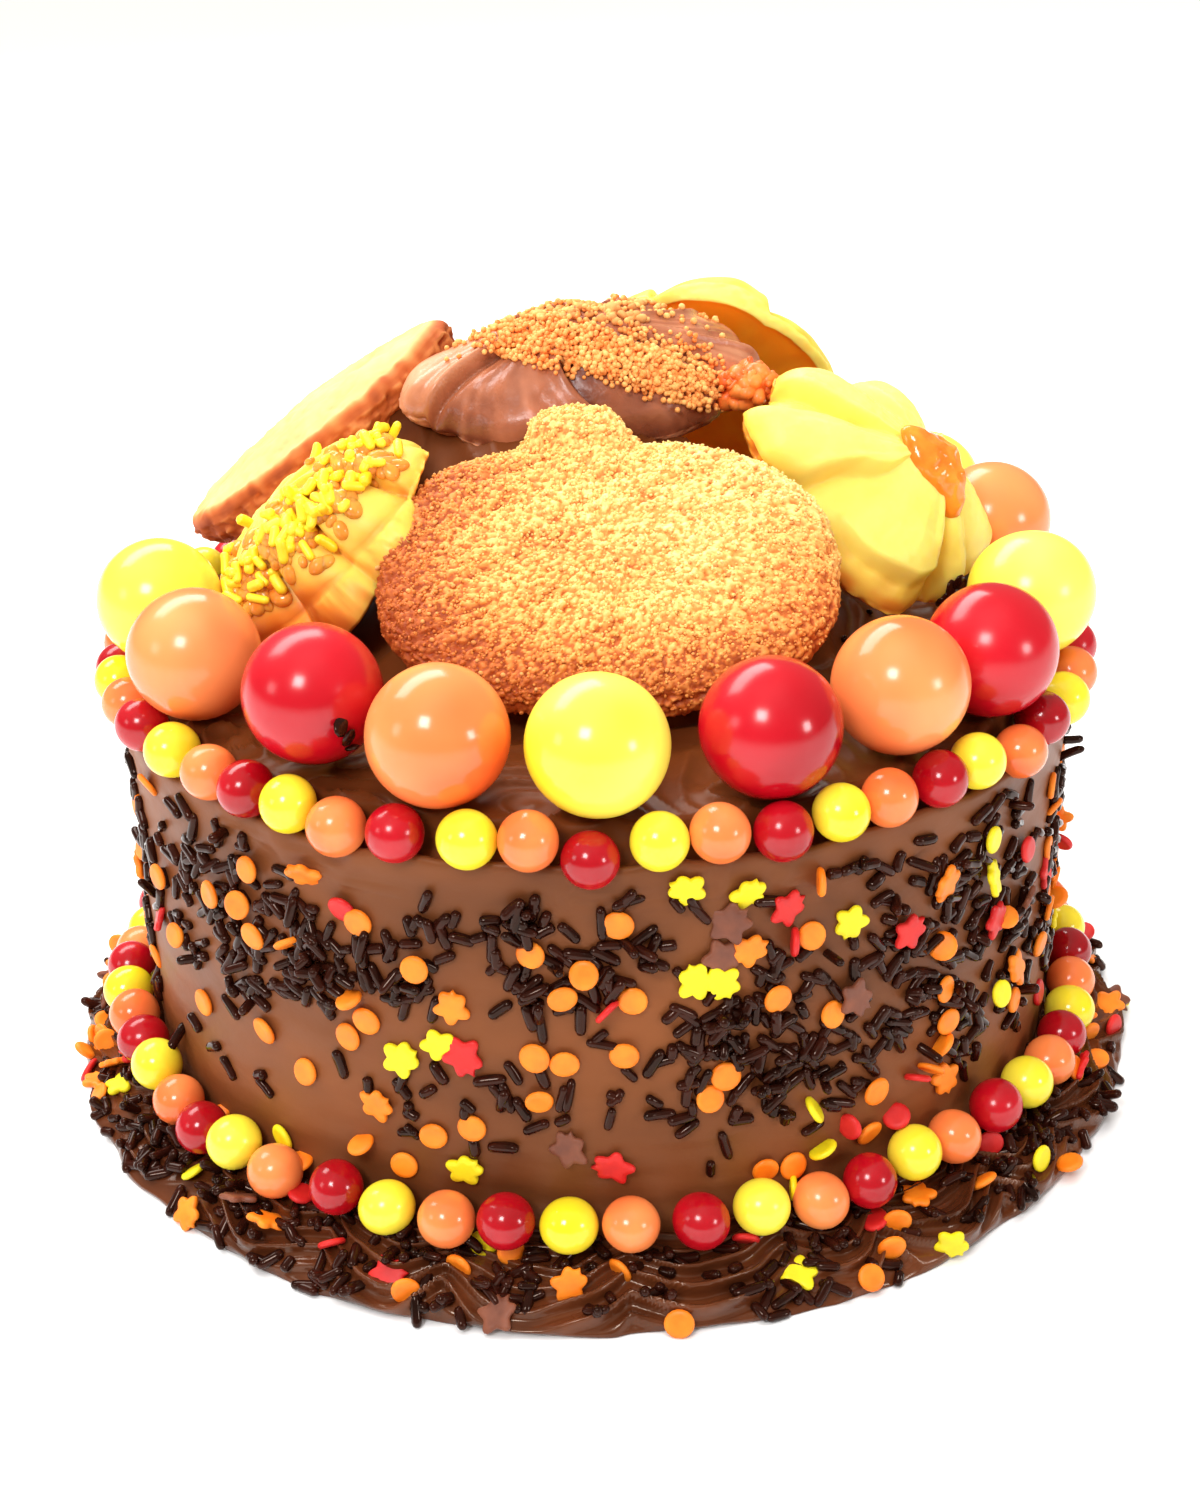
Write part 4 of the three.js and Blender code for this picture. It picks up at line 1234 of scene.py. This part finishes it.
# dense drifts of chocolate jimmies on the wall: pixel box, how many
DRIFTS = [
    ((140, 800, 235, 900), 46), ((165, 850, 300, 950), 60), ((210, 930, 330, 1000), 34), ((300, 925, 380, 1000), 44),
    ((370, 950, 440, 1010), 30), ((400, 880, 450, 950), 10), ((470, 890, 560, 960), 26), ((510, 950, 600, 1010), 40),
    ((590, 930, 680, 1010), 18), ((690, 990, 760, 1060), 32), ((650, 1040, 720, 1090), 14), ((740, 960, 830, 1040), 30),
    ((770, 1020, 900, 1100), 48), ((840, 950, 960, 1040), 40), ((890, 870, 1000, 960), 40), ((930, 800, 1075, 900), 52),
    ((980, 880, 1070, 980), 46), ((900, 960, 1040, 1060), 48), ((480, 1080, 620, 1140), 18), ((700, 1060, 820, 1120), 22),
    ((640, 890, 760, 960), 8), ((520, 1010, 640, 1080), 12), ((280, 1030, 480, 1150), 12), ((150, 950, 280, 1120), 16),
    ((620, 1090, 760, 1180), 9), ((800, 830, 940, 880), 16), ((560, 870, 680, 900), 6), ((200, 800, 420, 860), 10),
]


def in_drift(px, py):
    return any(n >= 26 and x0 + 8 < px < x1 - 8 and y0 + 8 < py < y1 - 8 for (x0, y0, x1, y1), n in DRIFTS)


for item in SEEN_FLAT:
    kind, px, py = item[:3]
    hit = cake.pixel(px, py)
    if hit is None or hit[0][1] > 60:
        continue
    many, shape = KINDS[kind]
    put_flat(many, shape, hit, edge=len(item) > 3, lift=1.4 if in_drift(px, py) else 0.25)


def on_border(az, r):
    p = polar(az, r, 0)
    return cake.down(p[0], p[1], start=60)


hidden_kinds = ["O"] * 9 + ["OL"] * 2 + ["YL"] * 3 + ["RL"] * 2 + ["BL"] * 2 + ["Y"] * 2 + ["R"] * 2
for _ in range(150):
    az = rng.uniform(64, 296)
    z = np.clip(46 + rng.normal() * 17, 22, 78)
    hit = cake.inward(az, z)
    if hit:
        many, shape = KINDS[hidden_kinds[rng.integers(len(hidden_kinds))]]
        put_flat(many, shape, hit, edge=rng.random() < 0.2)

for _ in range(110):
    az = rng.uniform(62, 298)
    hit = on_border(az, rng.uniform(104, 116))
    if hit:
        many, shape = KINDS[hidden_kinds[rng.integers(len(hidden_kinds))]]
        put_flat(many, shape, hit, edge=rng.random() < 0.3, tilt=0.3)


wall_jimmies = Many("chocolate_jimmies_wall")
placed = []


def put_jimmy(many, hit, stack=0, stick=False, length=None):
    p, n = hit
    k = rng.integers(0, 4)
    spin = rng.uniform(0, 2 * np.pi)
    zz = n + rng.normal(size=3) * (0.12 + 0.1 * stack)
    R = basis(zz, spin, up=(0.1, 0.2, 1))
    if stick:
        x = n * rng.uniform(0.5, 1.0) + rng.normal(size=3) * 0.6
        x /= np.linalg.norm(x)
        y = np.cross(zz, x)
        y /= np.linalg.norm(y)
        R = np.stack([x, y, np.cross(x, y)], 1)
    at = p + n * (0.5 + 1.25 * stack + (1.3 if stick else 0))
    near = np.linalg.norm(np.array(FLAT_AT) - at, axis=1).min()
    if near < (3.6 if stack or stick else 1.5 if many is wall_jimmies else 3.0):
        return
    L = (length or rng.uniform(0.62, 1.36))
    w = rng.uniform(0.86, 1.1)
    many.add(CAPSULES[k], R, at, (L, w, w))


def stack_level(p, reach=2.6):
    near = sum(1 for q in placed[-400:] if np.linalg.norm(q - p) < reach)
    placed.append(p)
    return min(2, near // 3)


for (x0, y0, x1, y1), count in DRIFTS:
    for _ in range(count):
        px = x0 + (x1 - x0) * np.clip(rng.normal(0.5, 0.33), -0.1, 1.1)
        py = y0 + (y1 - y0) * np.clip(rng.normal(0.5, 0.33), -0.1, 1.1)
        if any(abs(px - q[1]) < 15 and abs(py - q[2]) < 14 and not in_drift(q[1], q[2]) for q in SEEN_FLAT) and rng.random() < 0.9:
            continue
        hit = cake.pixel(px, py)
        if hit is None or hit[0][1] > 30 or hit[0][2] > 82 or hit[0][2] < 12:
            continue
        put_jimmy(wall_jimmies, hit, stack_level(hit[0]), stick=rng.random() < 0.08)

# the same drifts and scatter carried on round the sides and the back
for _ in range(900):
    az = rng.uniform(66, 294)
    z = 50 + rng.normal() * 15
    dens = 0.5 + 0.9 * float(noise(np.array([az * 1.7, z * 1.2, 5.0]), 26, 171))
    if rng.random() > dens or z > 80 or z < 22:
        continue
    hit = cake.inward(az, z)
    if hit:
        put_jimmy(wall_jimmies, hit, stack_level(hit[0]), stick=rng.random() < 0.08)
for _ in range(120):
    hit = cake.inward(rng.uniform(66, 294), rng.uniform(20, 78))
    if hit:
        put_jimmy(wall_jimmies, hit)

# on the border
border_jimmies = Many("chocolate_jimmies_border")


# a share of the visible front in the middle stays nearly bare, as the sides fill up
for _ in range(2500):
    az = rng.uniform(-180, 180)
    r = rng.uniform(101, 116.5)
    dens = 0.55 + 0.8 * float(noise(np.array([az * 1.3, r, 9.0]), 22, 181))
    if abs(az) < 60:
        dens *= 0.4 + 0.6 * abs(az) / 60
    if rng.random() > dens:
        continue
    hit = on_border(az, r)
    if hit:
        put_jimmy(border_jimmies, hit, stack_level(hit[0]), stick=rng.random() < 0.12)
finish_piece(wall_jimmies.build(), "jimmies", "dark_chocolate_frosting")
finish_piece(border_jimmies.build(), "jimmies", "dark_chocolate_frosting")
for key, many in discs.items():
    slot = {"orange": "candy_orange", "yellow": "candy_yellow", "red": "candy_red"}[key]
    finish_piece(many.build(), "confetti_" + key, slot)
for key, many in leaves.items():
    slot = {"orange": "candy_orange", "yellow": "candy_yellow", "red": "candy_red", "brown": "dark_chocolate_frosting"}[key]
    finish_piece(many.build(), "confetti_" + key, slot)

# ------------------------------------------------------------------ toppings on the cookies
flakes = Many("chocolate_flakes")
FLAKE = small_lathe([(0.1, 0.5), (0.8, 0.42), (1.0, 0.0), (0.8, -0.42), (0.1, -0.5)], 9)
balls_too = Surface(wall, top, border, yellow, *[PIECES["gumballs_" + n] for n in ("yellow", "orange", "red")])
for px, py, r in (
    (340, 724, 2.0), (347, 736, 1.6), (350, 745, 1.2), (951, 589, 2.2), (957, 582, 2.0), (945, 596, 1.6), (940, 600, 1.5),
    (868, 614, 0.8), (842, 640, 1.0),
):
    hit = balls_too.pixel(px, py)
    if hit is not None and hit[0][1] < 40:
        n = hit[1] + 0.5 * rng.normal(size=3)
        flakes.add(FLAKE, basis(n, rng.uniform(0, 6)), hit[0] + hit[1] * 0.6, (r * 1.3, r * 0.75, 0.8), warp=lumpy(int(px), 0.15, 1.5))
finish_piece(flakes.build(), "jimmies", "dark_chocolate_frosting")

ros_s = Surface(rosette)
balls = Many("orange_nonpareils")
BEAD = small_lathe([(0.42, 0.9), (0.94, 0.34), (0.94, -0.34), (0.42, -0.9)], 7)
for _ in range(5200):
    t = rng.random()
    cx, cy = 492 + 215 * t, 334 + 52 * t**1.5
    px, py = cx + np.clip(rng.normal() * 15, -30, 26), cy + np.clip(rng.normal() * 14, -38, 24)
    if px < 474 or (px < 500 and py > 352):
        continue
    hit = ros_s.pixel(px, py)
    if hit is None:
        continue
    p, n = hit
    if len(balls.V) > 2700:
        break
    r = rng.uniform(0.42, 0.7)
    balls.add(BEAD, basis(rng.normal(size=3)), p + n * (r * 0.6 + rng.random() ** 3 * 1.9), (r, r, r))
# the far side of the same cookie
for _ in range(420):
    x, y = rng.normal(0, 13), rng.normal(6, 6)
    w = facing(ROSETTE) @ np.array([x, y, 0]) + np.array(ROSETTE["at"])
    hit = ros_s.down(w[0], w[1])
    if hit:
        r = rng.uniform(0.5, 0.78)
        balls.add(BEAD, basis(rng.normal(size=3)), hit[0] + hit[1] * r * 0.6, (r, r, r))
finish_piece(balls.build(), "nonpareils", "candy_orange")

left_s = Surface(left)
yj = Many("yellow_jimmies")
for _ in range(120):
    t = rng.random()
    cx, cy = 238 + 148 * t, 585 - 152 * t
    px, py = cx + rng.normal() * 13, cy + rng.normal() * 13
    hit = left_s.pixel(px, py)
    if hit is None:
        continue
    p, n = hit
    R = basis(n + rng.normal(size=3) * 0.25, rng.uniform(0, 6.28))
    if rng.random() < 0.3:
        x = n + rng.normal(size=3) * 0.5
        x /= np.linalg.norm(x)
        y = np.cross(n + [0.01, 0.3, 0.1], x)
        y /= np.linalg.norm(y)
        R = np.stack([x, y, np.cross(x, y)], 1)
    w = rng.uniform(0.85, 1.15)
    yj.add(CAPSULES[rng.integers(0, 4)], R, p + n * rng.uniform(0.5, 2.2), (rng.uniform(0.7, 1.05), w, w))
finish_piece(yj.build(), "yellow_jimmies", "candy_yellow")
caramel = Many("apricot_jam_band")
LUMP = icosphere(3)
for _ in range(230):
    t = rng.random()
    px, py = 234 + 150 * t + rng.normal() * 15, 590 - 150 * t + rng.normal() * 15
    hit = left_s.pixel(px, py)
    if hit is None:
        continue
    r = rng.uniform(1.0, 2.1)
    caramel.add(LUMP, basis(hit[1] + rng.normal(size=3) * 0.1, rng.uniform(0, 6)), hit[0] + hit[1] * 0.1, (r * 1.3, r * 0.9, r * 0.72), warp=lumpy(int(rng.integers(1, 99)), 0.14, 2.0))
finish_piece(caramel.build(), "caramel", "jam")

oj = Many("orange_jimmies")
for k in range(20):
    d = rng.normal(size=3) + [0, -0.5, 0.9]
    d /= np.linalg.norm(d)
    c = np.array([32.4, 12.0, 139.6]) + d * [5.4, 4.8, 4.6]
    R = basis(rng.normal(size=3) * 0.6 + np.cross(d, [0.3, 1, 0.2]), rng.uniform(0, 6))
    oj.add(CAPSULES[k % 4], R, c, (rng.uniform(0.55, 0.85), 0.72, 0.72))
finish_piece(oj.build(), "orange_jimmies", "jam")

crumbs = Many("biscuit_crumbs")
pump_s = Surface(pumpkin)
V0, T0 = icosphere(2)
for _ in range(60):
    px, py = rng.uniform(520, 650), rng.uniform(305, 325)
    hit = everything.pixel(px, py)
    if hit is None or hit[0][1] > 60:
        continue
    r = rng.uniform(0.5, 1.3)
    crumbs.add((V0, T0), basis(rng.normal(size=3)), hit[0] + hit[1] * r * 0.6, (r, r * 0.8, r * 0.7), warp=lumpy(int(rng.integers(1, 90)), 0.2, 0.8))
for px, py, r in ((539, 315, 1.9), (607, 311, 1.7), (543, 322, 1.2), (600, 318, 1.3), (612, 320, 1.1), (531, 322, 1.0)):
    for dy in range(0, 30, 2):
        hit = everything.pixel(px, py + dy)
        if hit is not None and hit[0][1] < 45:
            crumbs.add(icosphere(3), basis(rng.normal(size=3)), hit[0] + hit[1] * r * 0.7 + [0, 0, dy * 0.1], (r, r * 0.85, r * 0.9), warp=lumpy(int(px), 0.2, 0.8))
            break
for _ in range(260):
    th, q = rng.uniform(0, 2 * np.pi), math.sqrt(rng.random())
    w = facing(PUMPKIN) @ np.array([44 * q * math.cos(th), 31 * q * math.sin(th), 30]) + np.array(PUMPKIN["at"])
    hit = pump_s.cast(w, -facing(PUMPKIN)[:, 2])
    if hit:
        r = rng.uniform(0.3, 0.6)
        crumbs.add((V0, T0), basis(rng.normal(size=3)), hit[0] + hit[1] * r * 0.5, (r, r * 0.85, r * 0.8))
finish_piece(crumbs.build(), "crumbs", "sugared_cookie")

grit = Many("sugar_grains")
CRYSTAL = icosphere(1)
for _ in range(6500):
    th, q = rng.uniform(0, 2 * np.pi), math.sqrt(rng.random())
    w = facing(PUMPKIN) @ np.array([46 * q * math.cos(th), 42 * q * math.sin(th), 30]) + np.array(PUMPKIN["at"])
    hit = pump_s.cast(w, -facing(PUMPKIN)[:, 2])
    if hit:
        r = rng.uniform(0.2, 0.42)
        x, y = 46 * q * math.cos(th) / 45, 42 * q * math.sin(th) / 33
        tone = 0.84 - 0.5 * float(smooth(0.42, 1.05, math.hypot(x, y)) * (1 - 0.8 * smooth(0.1, 0.9, y + 0.35 * x))) + 0.19 * x + 0.1 * y + rng.uniform(-0.12, 0.14)
        grit.add(
            CRYSTAL, basis(rng.normal(size=3)), hit[0] + hit[1] * r * 0.35, r * rng.uniform(0.75, 1.25, 3),
            tone=float(np.clip(tone, 0, 1)),
        )
finish_piece(grit.build(flat=True), "sugar", "sugared_cookie")

# ------------------------------------------------------------------ floor, light, camera
bpy.ops.mesh.primitive_plane_add(size=30, location=(0, 0, 0))
floor = bpy.context.object
floor.name = "floor"
fm = bpy.data.materials.new("floor")
fm.use_nodes = True
fm.node_tree.nodes["Principled BSDF"].inputs["Base Color"].default_value = (0.95, 0.95, 0.965, 1)
fm.node_tree.nodes["Principled BSDF"].inputs["Roughness"].default_value = 0.7
floor.data.materials.append(fm)

world = bpy.data.worlds.new("studio")
bpy.context.scene.world = world
world.use_nodes = True
wn = world.node_tree
bg = wn.nodes["Background"]
bg.inputs[0].default_value = (1, 0.94, 0.84, 1)
tc = wn.nodes.new("ShaderNodeTexCoord")
sp = wn.nodes.new("ShaderNodeSeparateXYZ")
wr = wn.nodes.new("ShaderNodeMapRange")
wr.interpolation_type = "SMOOTHSTEP"
wr.inputs["From Min"].default_value, wr.inputs["From Max"].default_value = 0.0, 0.8
wr.inputs["To Min"].default_value, wr.inputs["To Max"].default_value = 0.26, 0.46
wn.links.new(tc.outputs["Generated"], sp.inputs[0])
wn.links.new(sp.outputs["Z"], wr.inputs["Value"])
wn.links.new(wr.outputs[0], bg.inputs[1])


def area(name, loc, target, size, power, size_y=None):
    d = bpy.data.lights.new(name, "AREA")
    d.energy = power
    d.size = size
    if size_y:
        d.shape = "RECTANGLE"
        d.size_y = size_y
    o = bpy.data.objects.new(name, d)
    bpy.context.scene.collection.objects.link(o)
    o.location = loc
    v = Vector(target) - Vector(loc)
    o.rotation_euler = v.to_track_quat("-Z", "Y").to_euler()
    return o


key_light = bpy.data.lights.new("key", "SUN")
key_light.energy, key_light.angle = 2.35, 1.5
key_light.color = (1, 0.975, 0.93)
key_ob = bpy.data.objects.new("key", key_light)
scene_objects = bpy.context.scene.collection.objects
scene_objects.link(key_ob)
key_ob.rotation_euler = Vector((0.34, -0.30, -0.89)).to_track_quat("-Z", "Y").to_euler()
key_ob.visible_glossy = False
area("window", (-0.42, 0.62, 0.95), (0, 0, 0.1), 1.2, 11, 0.42)
area("front", (-0.34, -0.86, 0.86), (0, 0, 0.1), 0.3, 7.0)
area("side", (0.85, -0.62, 0.36), (0, 0, 0.1), 0.2, 2.2)
area("left", (-0.85, -0.42, 0.42), (0, 0, 0.1), 0.22, 0.6)
fill = area("fill", (0.1, -0.55, 2.0), (0, 0, 0.1), 1.6, 15)
fill.visible_glossy = False

scene = bpy.context.scene
scene.view_settings.view_transform = "Standard"
scene.view_settings.look = "None"
cam = bpy.data.cameras.new("camera")
cam.sensor_fit = "AUTO"
cam.sensor_width = 36
cam.lens = F_PX / 1500 * 36
cam_ob = bpy.data.objects.new("camera", cam)
scene.collection.objects.link(cam_ob)
mat = Matrix.Identity(4)
for i in range(3):
    mat[i][0], mat[i][1], mat[i][2], mat[i][3] = RV[i], UV[i], -FW[i], CAM[i] / 1000
cam_ob.matrix_world = mat
scene.camera = cam_ob
